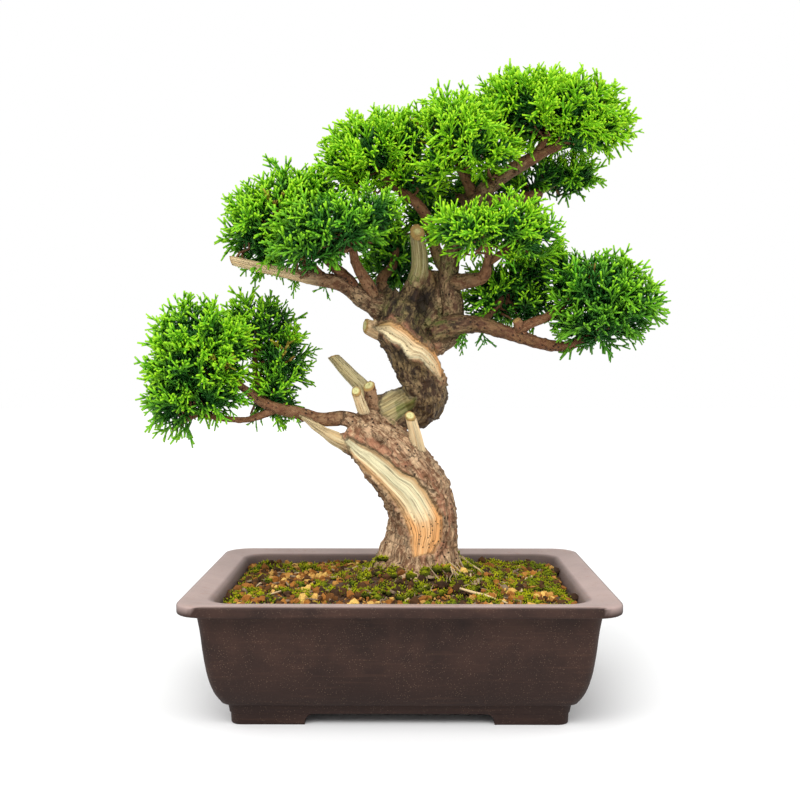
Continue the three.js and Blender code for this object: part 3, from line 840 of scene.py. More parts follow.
@dataclass(frozen=True)
class SoilGrains:
    """Ochre, orange and brown clay granules."""

    pale: str = "e0b662"
    orange: str = "a4682a"
    brown: str = "54371e"
    dark: str = "382618"

    def build(self) -> Material:
        """Makes the material.

        Returns:
            The material.
        """
        g = Graph("soil_grains")
        stops = (0, self.dark), (0.35, self.brown), (0.7, self.orange), (1, self.pale)
        dust = g.noise(g.own_place(), 800, 4, 0.7)
        tint = g.mix(g.ramp(g.look("tone"), *stops), self.dark, dust.step(0.5, 0.75) * 0.6)
        normal = g.bump(dust, 0.0006, 0.8)
        return g.surface(Base_Color=tint, Roughness=0.92, Specular_IOR_Level=0.2, Normal=normal)


@dataclass(frozen=True)
class BareSoil:
    """The finer soil that shows between the granules."""

    brown: str = "5a3d26"
    dark: str = "2a1e14"

    def build(self) -> Material:
        """Makes the material.

        Returns:
            The material.
        """
        g = Graph("bare_soil")
        grit = g.noise(g.own_place(), 520, 5, 0.75)
        tint = g.mix(self.dark, self.brown, grit.step(0.35, 0.65))
        return g.surface(Base_Color=tint, Roughness=0.95, Normal=g.bump(grit, 0.0012, 0.9))


@dataclass(frozen=True)
class Moss:
    """Bright moss, darker towards its base and, as painted shade, on the lower sides of its cushions."""

    bright: str = "ccc60e"
    green: str = "62760a"
    dark: str = "182204"

    def build(self) -> Material:
        """Makes the material.

        Returns:
            The material.
        """
        g = Graph("moss")
        clouds = g.noise(g.own_place(), 60, 3)
        tint = g.mix(self.dark, self.green, g.look("tip").step(0, 0.7))
        lit = (g.look("tip") * (clouds.step(0.35, 0.65) * 0.7 + g.look("tone") * 0.5)).clamped()
        tint = g.mix(tint, self.bright, lit)
        return g.surface(Base_Color=tint, Roughness=0.85, Specular_IOR_Level=0.15)


@dataclass(frozen=True)
class Litter:
    """Grey-brown bits of bark and pale dead roots."""

    dark: str = "4a3b31"
    grey: str = "8e765c"
    pale: str = "d2b88c"

    def build(self) -> Material:
        """Makes the material.

        Returns:
            The material.
        """
        g = Graph("litter")
        fibres = g.noise(g.own_place(), 300, 4, 0.7)
        tint = g.mix(self.dark, self.grey, fibres.step(0.35, 0.62))
        tint = g.mix(tint, self.pale, (g.look("tone") * 1.2 - 0.2).clamped())
        return g.surface(Base_Color=tint, Roughness=0.9, Normal=g.bump(fibres, 0.0008, 0.8))


@dataclass(frozen=True)
class MeshPlastic:
    """Dark plastic of the drainage screens."""

    tint: str = "1d1f1e"
    scuff: str = "3a3d3b"

    def build(self) -> Material:
        """Makes the material.

        Returns:
            The material.
        """
        g = Graph("mesh_plastic")
        scuffs = g.noise(g.own_place(), 700, 3)
        tint = g.mix(self.tint, self.scuff, scuffs.step(0.5, 0.8) * 0.4)
        return g.surface(Base_Color=tint, Roughness=0.5 + scuffs * 0.2)


@dataclass(frozen=True)
class BrownWire:
    """Brown anodised aluminium wire."""

    tint: str = "8b5a3c"
    scuff: str = "5f3b27"

    def build(self) -> Material:
        """Makes the material.

        Returns:
            The material.
        """
        g = Graph("brown_wire")
        scuffs = g.noise(g.own_place(), 900, 3)
        tint = g.mix(self.tint, self.scuff, scuffs.step(0.45, 0.7) * 0.6)
        return g.surface(Base_Color=tint, Roughness=0.35 + scuffs * 0.2, Metallic=0.9)


@dataclass(frozen=True)
class StudioPaper:
    """The plain pale floor."""

    tint: str = "ececec"

    def build(self) -> Material:
        """Makes the material."""
        g = Graph("studio_paper")
        return g.surface(Base_Color=self.tint, Roughness=0.9, Specular_IOR_Level=0.1)


@dataclass(frozen=True)
class Finishes:
    """Every finish, made once and shared by the pieces."""

    clay: Material
    wood: Material
    leaves: Material
    grains: Material
    bare_soil: Material
    moss: Material
    litter: Material
    plastic: Material
    wire: Material
    paper: Material

    @staticmethod
    def made() -> "Finishes":
        """Builds all the finishes.

        Returns:
            One material of each.
        """
        kinds = (UnglazedClay, JuniperWood, ScaleLeaves, SoilGrains, BareSoil, Moss, Litter)
        rest = (MeshPlastic, BrownWire, StudioPaper)
        return Finishes(*(kind().build() for kind in kinds + rest))


def dress(piece: Piece, finish: Material, slot: Slot, *nodes: str) -> None:
    """Finishes a piece, ties it to the frame and reports it.

    Args:
        piece: the finished mesh object.
        finish: its material.
        slot: not used.
        nodes: the solids that it stands for.
    """
    piece.data.materials.clear()
    piece.data.materials.append(finish)
    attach(piece, "root")
    if nodes:
        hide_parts(*nodes)
    log.info("%s: %d triangles", piece.name, triangles_of(piece))


def refinish(node: Piece, finish: Material) -> None:
    """Gives a solid of the frame that stays shown its finish.

    Args:
        node: the solid.
        finish: its material.
    """
    for own in node.material_slots:
        own.material = finish
    log.info("%s: finished as it is", node.name)


# Camera, floor and lights


@dataclass(frozen=True)
class PhotoCamera:
    """The camera at the photograph's place and angle. Places are in millimetres.

    Attributes:
        place: where the camera stands.
        down: how far it looks below the horizon, in radians.
        left: how far it looks to the left of straight back, in radians.
        focal: its focal length in pixels of the 800-pixel frame.
    """

    place: Row = (5.3, -898.7, 270.9)
    down: float = 0.0306
    left: float = 0.00613
    focal: float = 1077.0
    frame: float = 800.0
    sensor: float = 36.0

    def axes(self) -> Array:
        """The camera's right, up and forward directions, as rows.

        Returns:
            One direction a row.
        """
        level = np.array([-math.sin(self.left), math.cos(self.left), 0])
        right = np.array([math.cos(self.left), math.sin(self.left), 0])
        forward = level * math.cos(self.down) - UP * math.sin(self.down)
        upward = UP * math.cos(self.down) + level * math.sin(self.down)
        return np.stack([right, upward, forward])

    def seen(self, points: Array) -> Array:
        """Where points show in the frame, in pixels from its upper left corner.

        Args:
            points: places, one a row.

        Returns:
            Across and down, one place a row.
        """
        right, upward, forward = self.axes() @ (points - np.array(self.place)).T
        half = self.frame / 2
        return np.stack([half + self.focal * right / forward, half - self.focal * upward / forward], 1)

    def facing(self, points: Array, normals: Array) -> Array:
        """How far surfaces face the camera, from -1 to 1."""
        return (unit(np.array(self.place) - points) * normals).sum(axis=1)

    def build(self) -> None:
        """Adds the camera to the scene."""
        lens = bpy.data.cameras.new("camera")
        lens.sensor_width = self.sensor
        lens.lens = self.sensor * self.focal / self.frame
        lens.clip_start = 0.01
        camera = bpy.data.objects.new("camera", lens)
        right, upward, forward = self.axes()
        turn = Matrix([[right[i], upward[i], -forward[i]] for i in range(3)]).to_4x4()
        camera.matrix_world = Matrix.Translation(Vector(self.place) * MM) @ turn
        bpy.context.scene.collection.objects.link(camera)
        bpy.context.scene.camera = camera


@dataclass(frozen=True)
class Lamp:
    """One large soft lamp: its place, its size in metres and its power in watts."""

    place: Row
    size: float
    power: float
    target: Row = (0, 0, 0.25)

    def build(self, name: str) -> None:
        """Adds the lamp to the scene.

        Args:
            name: the lamp's name.
        """
        light = bpy.data.lights.new(name, "AREA")
        light.shape = "DISK"
        light.size = self.size
        light.energy = self.power
        lamp = bpy.data.objects.new(name, light)
        aim = Vector(self.target) - Vector(self.place)
        lamp.location = self.place
        lamp.rotation_euler = aim.to_track_quat("-Z", "Y").to_euler()
        bpy.context.scene.collection.objects.link(lamp)


@dataclass(frozen=True)
class Studio:
    """A white room: a pale floor, an even sky, a broad key light and two soft lamps.

    Attributes:
        floor_size: the floor's side, in metres.
        backdrop: how bright the sky shows.
        sky: how bright it lights the object.
        key: the strength of the broad light, which is the same all over the floor.
        key_from: the direction that it comes from.
        key_spread: how wide it is, in degrees.
    """

    floor_size: float = 12.0
    backdrop: float = 1.0
    sky: float = 0.74
    key: float = 2.4
    key_from: Row = (-0.14, -0.66, 1)
    key_spread: float = 55.0
    lamps: tuple[Lamp, ...] = (
        Lamp((-1.2, -1.4, 1.6), 1, 8),
        Lamp((1.4, -1.2, 1.2), 1, 6),
    )

    def build(self, finishes: Finishes) -> None:
        """Builds the floor, the sky and the lights.

        Args:
            finishes: the finishes to choose from.
        """
        deselect_all()
        bpy.ops.mesh.primitive_plane_add(size=self.floor_size)
        floor = bpy.context.object
        floor.name = "floor"
        floor.data.materials.append(finishes.paper)
        floor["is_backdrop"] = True
        self._build_sky()
        light = bpy.data.lights.new("key", "SUN")
        light.energy = self.key
        light.angle = math.radians(self.key_spread)
        key = bpy.data.objects.new("key", light)
        key.rotation_euler = Vector(self.key_from).to_track_quat("Z", "Y").to_euler()
        bpy.context.scene.collection.objects.link(key)
        for k, lamp in enumerate(self.lamps):
            lamp.build(f"lamp_{k}")
        bpy.context.scene.view_settings.view_transform = "Standard"

    def _build_sky(self) -> None:
        """A white sky that shows brighter than it lights."""
        world = bpy.data.worlds.new("white_room")
        world.use_nodes = True
        tree = world.node_tree
        background = tree.nodes["Background"]
        background.inputs["Color"].default_value = (1, 1, 1, 1)
        path = tree.nodes.new("ShaderNodeLightPath")
        strength = tree.nodes.new("ShaderNodeMapRange")
        strength.inputs["To Min"].default_value = self.sky
        strength.inputs["To Max"].default_value = self.backdrop
        tree.links.new(path.outputs["Is Camera Ray"], strength.inputs["Value"])
        tree.links.new(strength.outputs["Result"], background.inputs["Strength"])
        bpy.context.scene.world = world


# The pot, its soil and what lies on it


@dataclass(frozen=True)
class Outline:
    """One level of the pot: half its width and depth, its corner radius and its height."""

    half_x: float
    half_y: float
    radius: float
    z: float


@dataclass
class Pot:
    """The fired pot, from its feet over the rolled rim to its floor. Sizes are in millimetres."""

    width: float = 330.0
    depth: float = 255.0
    corner_steps: int = 9
    floor_under: float = 8.5
    floor_top: float = 17.0
    foot_inset: float = 37.0
    foot_long_side: float = 56.0
    foot_short_side: float = 40.0
    foot_width: float = 17.0
    foot_curve: float = 7.0
    drain_radius: float = 11.0
    drain_offset: float = 60.0
    drain_sides: int = 40
    drain_cut: float = 20.0
    rim_low: float = 94.8
    rim_high: float = 96.0
    smooth_below: float = 38.0
    foot_wall: tuple = ((37, 0, 8), (36.5, 0.7, 8), (36, 8.3, 8), (35.3, 8.9, 8), (35.1, 9.8, 8))
    band: tuple = ((34.4, 14.4, 8), (34, 15.6, 8), (33.2, 16.3, 8), (31, 16.6, 9))
    body: tuple = ((30, 17.2), (25.4, 25), (21.2, 38), (18.2, 56), (16.2, 74), (14.2, 86.6))
    lip: tuple = (
        (13.3, 88.3, 9.5), (11.6, 88.9, 12), (3, 89.1, 19), (0.9, 89.4, 20.6), (0.25, 89.9, 21),
        (0, 90.8, 21), (0.02, 95.6, 21), (0.35, 96.7, 21), (1.1, 97.4, 21), (2.3, 97.85, 21),
        (4.4, 98, 21), (6.6, 97.8, 21), (9, 97.45, 21), (14, 96.7, 21), (19, 96, 20.5),
        (21.6, 95.4, 20), (23.3, 94.2, 20), (24.1, 92.5, 20),
    )
    inner_wall: tuple = ((24.6, 90), (26, 84), (27.5, 62), (31, 38), (36, 24), (40, 19.2), (45, 17))

    def levels(self) -> list[Outline]:
        """The levels of the pot from under its feet, over the rim and down to its floor.

        Returns:
            One outline a level.
        """
        body = self._smooth(self.body, 18, 9)
        inside = self._smooth(self.inner_wall, 14, 20)
        rows = [*self.foot_wall, *self.band, *body, *self.lip, *inside]
        half_x, half_y = self.width / 2, self.depth / 2
        return [Outline(half_x - inset, half_y - inset, radius, z) for inset, z, radius in rows]

    @staticmethod
    def _smooth(rows: Sequence[Row], count: int, radius: float) -> list[tuple]:
        """More levels on a smooth curve through the given insets and heights.

        Args:
            rows: the insets and heights.
            count: how many levels to lay.
            radius: the corners' radius.

        Returns:
            Each level's inset, height and radius.
        """
        points = np.array([(inset, z, 0) for inset, z in rows])
        curve = curve_through(points, np.linspace(0, 1, count))
        return [(inset, z, radius) for inset, z, _ in curve]

    def build(self, finishes: Finishes) -> None:
        """Models the pot and dresses it.

        Args:
            finishes: the finishes to choose from.
        """
        levels = self.levels()
        pot = self._base(levels[0])
        for below, level in zip(levels, levels[1:]):
            self._raise_level(pot, below, level)
        self._close_underside(pot, levels[0])
        self._cut_passages(pot)
        self._cut_drains(pot)
        activate(pot)
        bpy.ops.object.shade_smooth_by_angle(angle=math.radians(self.smooth_below))
        # stores the rim's painted reflection and the inner wall's painted light as the top look
        put_look(pot.data, "top", self._rim_painted_light(pot.data))
        dress(pot, finishes.clay, Slot.CLAY, "pot")

    def _rim_painted_light(self, mesh: bpy.types.Mesh) -> Array:
        """How much painted light each point takes: a painted reflection on the upper side of the rim, and
        painted light on the inner wall, weaker at the back as painted shade.

        Args:
            mesh: the pot's mesh.

        Returns:
            One value a point.
        """
        points = np.zeros(len(mesh.vertices) * 3)
        mesh.vertices.foreach_get("co", points)
        x, y, z = points.reshape(-1, 3).T / MM
        inset = np.minimum(self.width / 2 - np.abs(x), self.depth / 2 - np.abs(y))
        # painted reflection on the rim's top
        rim = step(z, self.rim_low, self.rim_high) * step(inset, 0.6, 1.8)
        # painted light on the inner wall, less on the back wall as painted shade under the rim
        wall = (0.6 - 0.35 * step(y, 60, 95)) * step(z, 78, 92)
        return np.maximum(rim, wall * (inset > 18))

    def _base(self, level: Outline) -> Piece:
        """A flat plate with rounded corners at the lowest level, left in edit mode.

        Args:
            level: the lowest level.

        Returns:
            The plate.
        """
        deselect_all()
        bpy.ops.mesh.primitive_plane_add(size=2, location=(0, 0, 0))
        pot = bpy.context.object
        pot.name = pot.data.name = "pot_dressed"
        bpy.ops.object.mode_set(mode="EDIT")
        bpy.context.tool_settings.mesh_select_mode = (True, False, False)
        bpy.ops.transform.resize(value=(level.half_x * MM, level.half_y * MM, 1))
        bpy.ops.transform.translate(value=(0, 0, level.z * MM))
        bpy.ops.mesh.bevel(offset=level.radius * MM, segments=self.corner_steps, affect="VERTICES")
        return pot

    def _raise_level(self, pot: Piece, below: Outline, level: Outline) -> None:
        """Extrudes the top plate to the next level and brings its four corners to their places.

        Args:
            pot: the pot so far.
            below: its top level.
            level: the next level.
        """
        rise = (level.z - below.z) * MM
        bpy.ops.mesh.extrude_region_move(TRANSFORM_OT_translate={"value": (0, 0, rise)})
        mesh = bmesh.from_edit_mesh(pot.data)
        ring = [v for v in mesh.verts if v.select]
        factor = level.radius / below.radius
        for side_x, side_y in product((-1, 1), repeat=2):
            for v in ring:
                v.select = v.co.x * side_x > 0 and v.co.y * side_y > 0
            corner = (side_x * below.half_x * MM, side_y * below.half_y * MM, level.z * MM)
            shift_x = side_x * (level.half_x - below.half_x) * MM
            shift_y = side_y * (level.half_y - below.half_y) * MM
            bpy.ops.transform.resize(value=(factor, factor, 1), center_override=corner)
            bpy.ops.transform.translate(value=(shift_x, shift_y, 0))
        for v in ring:
            v.select = True
        mesh.select_flush(True)

    def _close_underside(self, pot: Piece, lowest: Outline) -> None:
        """Fills the open ring under the feet and leaves edit mode.

        Args:
            pot: the pot.
            lowest: its lowest level.
        """
        mesh = bmesh.from_edit_mesh(pot.data)
        for v in mesh.verts:
            v.select = v.co.z < lowest.z * MM + 1e-6
        mesh.select_flush(True)
        bpy.ops.mesh.edge_face_add()
        bpy.ops.mesh.select_all(action="SELECT")
        bpy.ops.mesh.normals_make_consistent(inside=False)
        bpy.ops.object.mode_set(mode="OBJECT")

    def _cut_passages(self, pot: Piece) -> None:
        """Cuts the passages that leave four feet, with hollowed ends on the long sides.

        Args:
            pot: the pot.
        """
        half_x, half_y = self.width / 2 - self.foot_inset, self.depth / 2 - self.foot_inset
        through = self.depth
        passages = (
            (half_x - self.foot_long_side, through, self.foot_curve),
            (self.width, half_y - self.foot_short_side, 0),
            (half_x - self.foot_width, half_y - self.foot_width, 0),
        )
        for reach_x, reach_y, rounding in passages:
            deselect_all()
            bpy.ops.mesh.primitive_cube_add(size=2)
            cutter = bpy.context.object
            bpy.ops.object.mode_set(mode="EDIT")
            depth = self.floor_under * MM
            bpy.ops.transform.resize(value=(reach_x * MM, reach_y * MM, depth))
            if rounding:
                self._select_long_edges(cutter, depth)
                bpy.ops.mesh.bevel(offset=rounding * MM, segments=8, affect="EDGES")
            bpy.ops.object.mode_set(mode="OBJECT")
            self._subtract(pot, cutter)

    @staticmethod
    def _select_long_edges(cutter: Piece, top: float) -> None:
        """Selects a cutter's two upper edges that run from front to back.

        Args:
            cutter: the cutter, in edit mode.
            top: its upper side's height.
        """
        bpy.context.tool_settings.mesh_select_mode = (False, True, False)
        mesh = bmesh.from_edit_mesh(cutter.data)
        for edge in mesh.edges:
            first, second = (v.co for v in edge.verts)
            high = min(first.z, second.z) > top * 0.9
            edge.select = high and abs(first.x - second.x) < 1e-6
        mesh.select_flush(False)

    def _cut_drains(self, pot: Piece) -> None:
        """Cuts the two drainage holes through the floor.

        Args:
            pot: the pot.
        """
        for side in (-1, 1):
            deselect_all()
            bpy.ops.mesh.primitive_cylinder_add(
                vertices=self.drain_sides,
                radius=self.drain_radius * MM,
                depth=self.drain_cut * MM,
                location=(side * self.drain_offset * MM, 0, self.floor_top * MM * 0.75),
            )
            self._subtract(pot, bpy.context.object)

    @staticmethod
    def _subtract(pot: Piece, cutter: Piece) -> None:
        """Cuts one shape out of the pot and removes the cutter."""
        apply_modifier(pot, "BOOLEAN", object=cutter, operation="DIFFERENCE", solver="EXACT")
        remove(cutter)


@dataclass(frozen=True)
class SoilBed:
    """Where the soil's surface lies. Sizes are in millimetres."""

    half_x: float = 138.0
    half_y: float = 100.5
    corner: float = 20.0
    level: float = 87.0
    mound: float = 23.0
    spread: float = 58.0
    foot_x: float = 19.0
    foot_y: float = 0.0
    lumps: float = 3.2
    heap: float = 4.0

    def height(self, x: Array, y: Array) -> Array:
        """The height of the uneven surface at places, with a heap round the trunk's foot.

        Args:
            x: places from left to right.
            y: places from front to back.

        Returns:
            One height a place.
        """
        away = self.from_trunk(x, y)
        places = np.stack([x / 16.0, y / 12.0, np.full(np.shape(x), 8.0)], 1)
        raised = self.lumps * np.maximum(Roughness(15).layered(places, 2), -0.1)
        raised = raised + self.heap * step(away, 48, 32)
        return self.level + self.mound * np.exp(-((away / self.spread) ** 2)) + raised

    def holds(self, x: Array, y: Array, margin: float) -> Array:
        """Whether places lie inside the pot's inner wall, by a margin.

        Args:
            x: places from left to right.
            y: places from front to back.
            margin: the least distance from the wall.

        Returns:
            One answer a place.
        """
        over_x = np.abs(x) - (self.half_x - self.corner)
        over_y = np.abs(y) - (self.half_y - self.corner)
        outside = np.hypot(np.maximum(over_x, 0), np.maximum(over_y, 0))
        return outside < self.corner - margin

    def from_trunk(self, x: Array, y: Array) -> Array:
        """The distance from the middle of the trunk's foot."""
        return np.hypot(x - self.foot_x, y - self.foot_y)

    def scattered(self, rng: Chance, count: int, margin: float, clear: float) -> Array:
        """Random places on the bed, clear of its wall and of the trunk.

        Args:
            rng: the seeded source of chance.
            count: how many are tried.
            margin: the least distance from the wall.
            clear: the least distance from the trunk's middle.

        Returns:
            One place a row.
        """
        x = rng.uniform(-self.half_x, self.half_x, count)
        y = rng.uniform(-self.half_y, self.half_y, count)
        kept = self.holds(x, y, margin) & (self.from_trunk(x, y) > clear)
        return np.stack([x[kept], y[kept]], 1)


def mossiness(x: Array, y: Array, bed: SoilBed) -> Array:
    """How thickly moss grows at places, from 0 to 1: most of all round the trunk's foot.

    Args:
        x: places from left to right.
        y: places from front to back.
        bed: the soil that they lie on.

    Returns:
        One value a place.
    """
    places = np.stack([x / 17, y / 13, np.zeros(len(x))], 1)
    patches = Roughness(5).layered(places, 3)
    near = np.exp(-((bed.from_trunk(x, y) / 58) ** 2))
    edge = step(np.abs(x), 96, 132) * 0.3 + step(y, 55, 95) * 0.35
    right = step(x, 40, 110) * 0.1
    return step(patches + near * 1.5 + edge + right, 0.06, 0.34)


def random_turns(rng: Chance, count: int) -> Array:
    """Turns in every direction alike."""
    return turns_towards(unit(rng.normal(size=(count, 3))), rng.uniform(0, 2 * math.pi, count))


@dataclass
class Granules:
    """Loose clay granules over the soil, made from a few shapes. Sizes are in millimetres."""

    bed: SoilBed
    count: int = 6400
    smallest: float = 1.1
    largest: float = 4.8
    shapes: int = 5
    seed: int = 21

    def build(self, finishes: Finishes) -> None:
        """Strews the granules and dresses them.

        Args:
            finishes: the finishes to choose from.
        """
        rng = np.random.default_rng(self.seed)
        shells = []
        for k in range(self.shapes):
            shape = ball(1, uneven=0.32, alike=0.6, seed=k + 1)
            flat = self.bed.scattered(rng, self.count // self.shapes, 1, 34)
            count = len(flat)
            size = self.smallest + (self.largest - self.smallest) * rng.random(count) ** 6
            scale = size[:, None] * rng.uniform(0.55, 1.2, (count, 3))
            x, y = flat.T
            z = self.bed.height(x, y) + rng.uniform(-0.6, 0.9, count) + size * 0.25
            turns = random_turns(rng, count)
            places = np.stack([x / 24.0, y / 24.0, np.full(count, 3.0)], 1)
            tone = 0.58 + 0.4 * Roughness(9).at(places) + rng.normal(0, 0.24, count)
            tone = np.clip(tone - 0.25 * mossiness(x, y, self.bed), 0, 1)
            shells.append(shape.placed(np.stack([x, y, z], 1), turns, scale, tone=tone))
        piece = Shell.joined(shells).mesh_object("soil_granules", smooth=False)
        dress(piece, finishes.grains, Slot.SOIL)


@dataclass
class MossCover:
    """Moss as low cushions thick with fine tips, and single tips between. Sizes are in millimetres."""

    bed: SoilBed
    cushions: int = 1150
    tips_each: int = 18
    single_tips: int = 4500
    climbing: int = 110
    seed: int = 31

    def _grown(self, rng: Chance, tries: int, margin: float) -> Array:
        """Random places where moss grows.

        Args:
            rng: the seeded source of chance.
            tries: how many places are tried.
            margin: the least distance from the wall.

        Returns:
            One place a row.
        """
        flat = self.bed.scattered(rng, tries, margin, 33)
        flat = flat[rng.random(len(flat)) < mossiness(flat[:, 0], flat[:, 1], self.bed)]
        return np.column_stack([flat, self.bed.height(flat[:, 0], flat[:, 1])])

    def _on_trunk(self, rng: Chance) -> Array:
        """Random places low on the trunk's left and right sides, where moss climbs it.

        Args:
            rng: the seeded source of chance.

        Returns:
            One place a row.
        """
        left = rng.random(self.climbing) < 0.8
        middle, spread = np.where(left, 163.0, 24.0), np.where(left, 20.0, 12.0)
        turn = np.radians(rng.normal(middle, spread))
        z = 101 + 12 * rng.random(self.climbing) ** 1.7
        x, _, height, radius = np.array(LOWER_TRUNK[:6]).T
        away = np.interp(z, height, radius)
        return np.stack([np.interp(z, height, x) + away * np.cos(turn), away * np.sin(turn), z], 1)

    @staticmethod
    def _tips(at: Array, along: Array, tone: Array, lit: Array, rng: Chance) -> Shell:
        """Fine tips, each growing its own way.

        Args:
            at: their places.
            along: their directions.
            tone: their tones.
            lit: how light their ends are, as painted light: less on a cushion's lower side.
            rng: the seeded source of chance.

        Returns:
            All the tips.
        """
        count = len(at)
        thick = rng.uniform(0.5, 0.95, count)
        scale = np.stack([thick, thick, rng.uniform(1.4, 3.4, count)], 1)
        tip = three_sided_shoot(0)
        turns = turns_towards(along, rng.uniform(0, 6.3, count))
        spikes = tip.placed(at, turns, scale, tone=tone)
        spikes.looks["tip"] = np.tile(tip.points[:, 2], count) * np.repeat(lit, len(tip.points))
        return spikes

    def build(self, finishes: Finishes) -> None:
        """Grows the moss and dresses it.

        Args:
            finishes: the finishes to choose from.
        """
        rng = np.random.default_rng(self.seed)
        at = np.concatenate([self._on_trunk(rng), self._grown(rng, self.cushions, 4)])
        count = len(at)
        size = rng.uniform(2.4, 6.2, count)
        size[: self.climbing] *= 0.7
        scale = np.stack([size, size, size * rng.uniform(0.45, 0.9, count)], 1)
        tone = rng.random(count)
        cushion = ball(1)
        cushion.looks["tip"] = step(cushion.points[:, 2], 0.2, 1) * 0.5
        turns = turns_towards(np.tile(UP, (count, 1)), rng.uniform(0, 6.3, count))
        low = cushion.placed(at, turns, scale, tone=tone)

        outward = rng.normal(size=(count * self.tips_each, 3))
        outward[:, 2] = np.abs(outward[:, 2])
        outward = unit(outward)
        feet = np.repeat(at, self.tips_each, 0) + outward * np.repeat(scale, self.tips_each, 0) * 0.85
        along = unit(outward + UP * 0.7 + rng.normal(0, 0.3, outward.shape))
        # Painted light: tips on a cushion's upper side lighter, those on its lower side darker.
        lit = 0.2 + 0.8 * step(outward[:, 2], 0.1, 0.8)
        on_cushions = self._tips(feet, along, np.repeat(tone, self.tips_each), lit, rng)

        at = self._grown(rng, self.single_tips, 1.5)
        along = unit(UP + rng.normal(0, 0.38, at.shape))
        single = self._tips(at + UP, along, rng.random(len(at)), np.full(len(at), 0.7), rng)
        moss = Shell.joined([low, on_cushions, single]).mesh_object("moss")
        dress(moss, finishes.moss, Slot.FOLIAGE)


# Limbs


def curve_through(points: Array, share: Array) -> Array:
    """Places on a smooth curve through points, which gives each span the same part of 0 to 1.

    Args:
        points: the places that the curve passes, one row each.
        share: where on the curve, from 0 to 1.

    Returns:
        One place for each share.
    """
    spans = len(points) - 1
    at = np.minimum((share * spans).astype(int), spans - 1)
    w = (share * spans - at)[:, None]
    ends = [2 * points[0] - points[1]], [2 * points[-1] - points[-2]]
    padded = np.concatenate([ends[0], points, ends[1]])
    p0, p1, p2, p3 = (padded[at + k] for k in range(4))
    d0, d1, d2 = (
        np.maximum(np.linalg.norm(b - a, axis=1, keepdims=True) ** 0.5, 1e-4)
        for a, b in ((p0, p1), (p1, p2), (p2, p3))
    )
    m1 = ((p1 - p0) / d0 - (p2 - p0) / (d0 + d1) + (p2 - p1) / d1) * d1
    m2 = ((p2 - p1) / d1 - (p3 - p1) / (d1 + d2) + (p3 - p2) / d2) * d1
    bend = 3 * (p2 - p1) - 2 * m1 - m2
    swing = 2 * (p1 - p2) + m1 + m2
    return p1 + m1 * w + bend * w**2 + swing * w**3


@dataclass
class Spine:
    """A limb's middle line, sampled: places, directions, radius and share of its length."""

    centre: Array
    along: Array
    normal: Array
    across: Array
    radius: Array
    share: Array
    run: Array


@dataclass
class Limb:
    """A tapering limb of wood. Each station is x, y, z and radius in millimetres.

    Attributes:
        stations: the limb's middle line.
        lean: the slope of its end's cut, sideways.
        slope: how far that cut is turned to the front.
        cut: how far that end shows pale cut wood.
        bare: how bare the limb is.
        bare_from: the share of its length from which it is bare.
        stain: how green weather has turned it.
        salmon: how far its bark shows salmon.
        age: how dark and rough its bark is.
        section: how far the section swells at an angle and a share of the length.
    """

    stations: Sequence[Row]
    lean: float = 0.0
    slope: float = 0.0
    cut: float = 0.0
    bare: float = 0.0
    bare_from: float = 0.06
    stain: float = 0.0
    salmon: float = 0.15
    age: float = 0.4
    section: Section | None = None
    sides: int = 14
    spacing: float = 2.6

    def spine(self) -> Spine:
        """The sampled middle line, with a frame that doesn't twist.

        Returns:
            The middle line.
        """
        table = np.array(self.stations, float)
        spans = len(table) - 1
        length = np.linalg.norm(np.diff(table[:, :3], axis=0), axis=1).sum()
        count = max(spans * 2, round(length / self.spacing)) + 1
        share = np.linspace(0, 1, count)
        centre = curve_through(table[:, :3], share)
        along = unit(np.gradient(centre, axis=0))
        at = np.minimum((share * spans).astype(int), spans - 1)
        part = step(share * spans - at, 0, 1)
        radius = table[at, 3] * (1 - part) + table[at + 1, 3] * part
        normal = np.zeros_like(centre)
        last = FRONT
        for k in range(count):
            last = unit(last - along[k] * (last @ along[k]))
            normal[k] = last
        steps = np.linalg.norm(np.diff(centre, axis=0), axis=1)
        run = np.concatenate([[0], np.cumsum(steps)])
        return Spine(centre, along, normal, np.cross(along, normal), radius, share, run)

    def shell(self) -> Shell:
        """The limb's closed skin.

        Returns:
            The skin.
        """
        s = self.spine()
        angle = np.arange(self.sides) * 2 * math.pi / self.sides
        swell = np.ones((len(s.share), self.sides))
        if self.section:
            swell = self.section(angle[None, :], s.share[:, None])
        r = s.radius[:, None] * swell
        ring = (
            s.centre[:, None]
            + (r * np.cos(angle))[..., None] * s.normal[:, None]
            + (r * np.sin(angle))[..., None] * s.across[:, None]
        )
        tilt = self.lean * np.sin(angle) - self.slope * np.cos(angle)
        ring[-1] += (r[-1] * tilt)[:, None] * s.along[-1]
        points = np.concatenate([ring.reshape(-1, 3), s.centre[:1], s.centre[-1:]])
        k = np.arange(len(s.share) - 1)[:, None] * self.sides
        i = np.arange(self.sides)[None, :]
        j = (i + 1) % self.sides
        a, b, c, d = k + i, k + j, k + i + self.sides, k + j + self.sides
        halves = [np.stack([a, b, d], -1).reshape(-1, 3), np.stack([a, d, c], -1).reshape(-1, 3)]
        last = (len(s.share) - 1) * self.sides
        first_cap = np.stack([np.full(self.sides, len(points) - 2), j[0], i[0]], 1)
        last_cap = np.stack([np.full(self.sides, len(points) - 1), last + i[0], last + j[0]], 1)
        return Shell(points, np.concatenate([*halves, first_cap, last_cap]))


def thin_limb(places: Array, radii: Sequence[float], spacing: float) -> Shell:
    """A thin five-sided limb through places."""
    return Limb(np.column_stack([places, radii]), sides=5, spacing=spacing).shell()


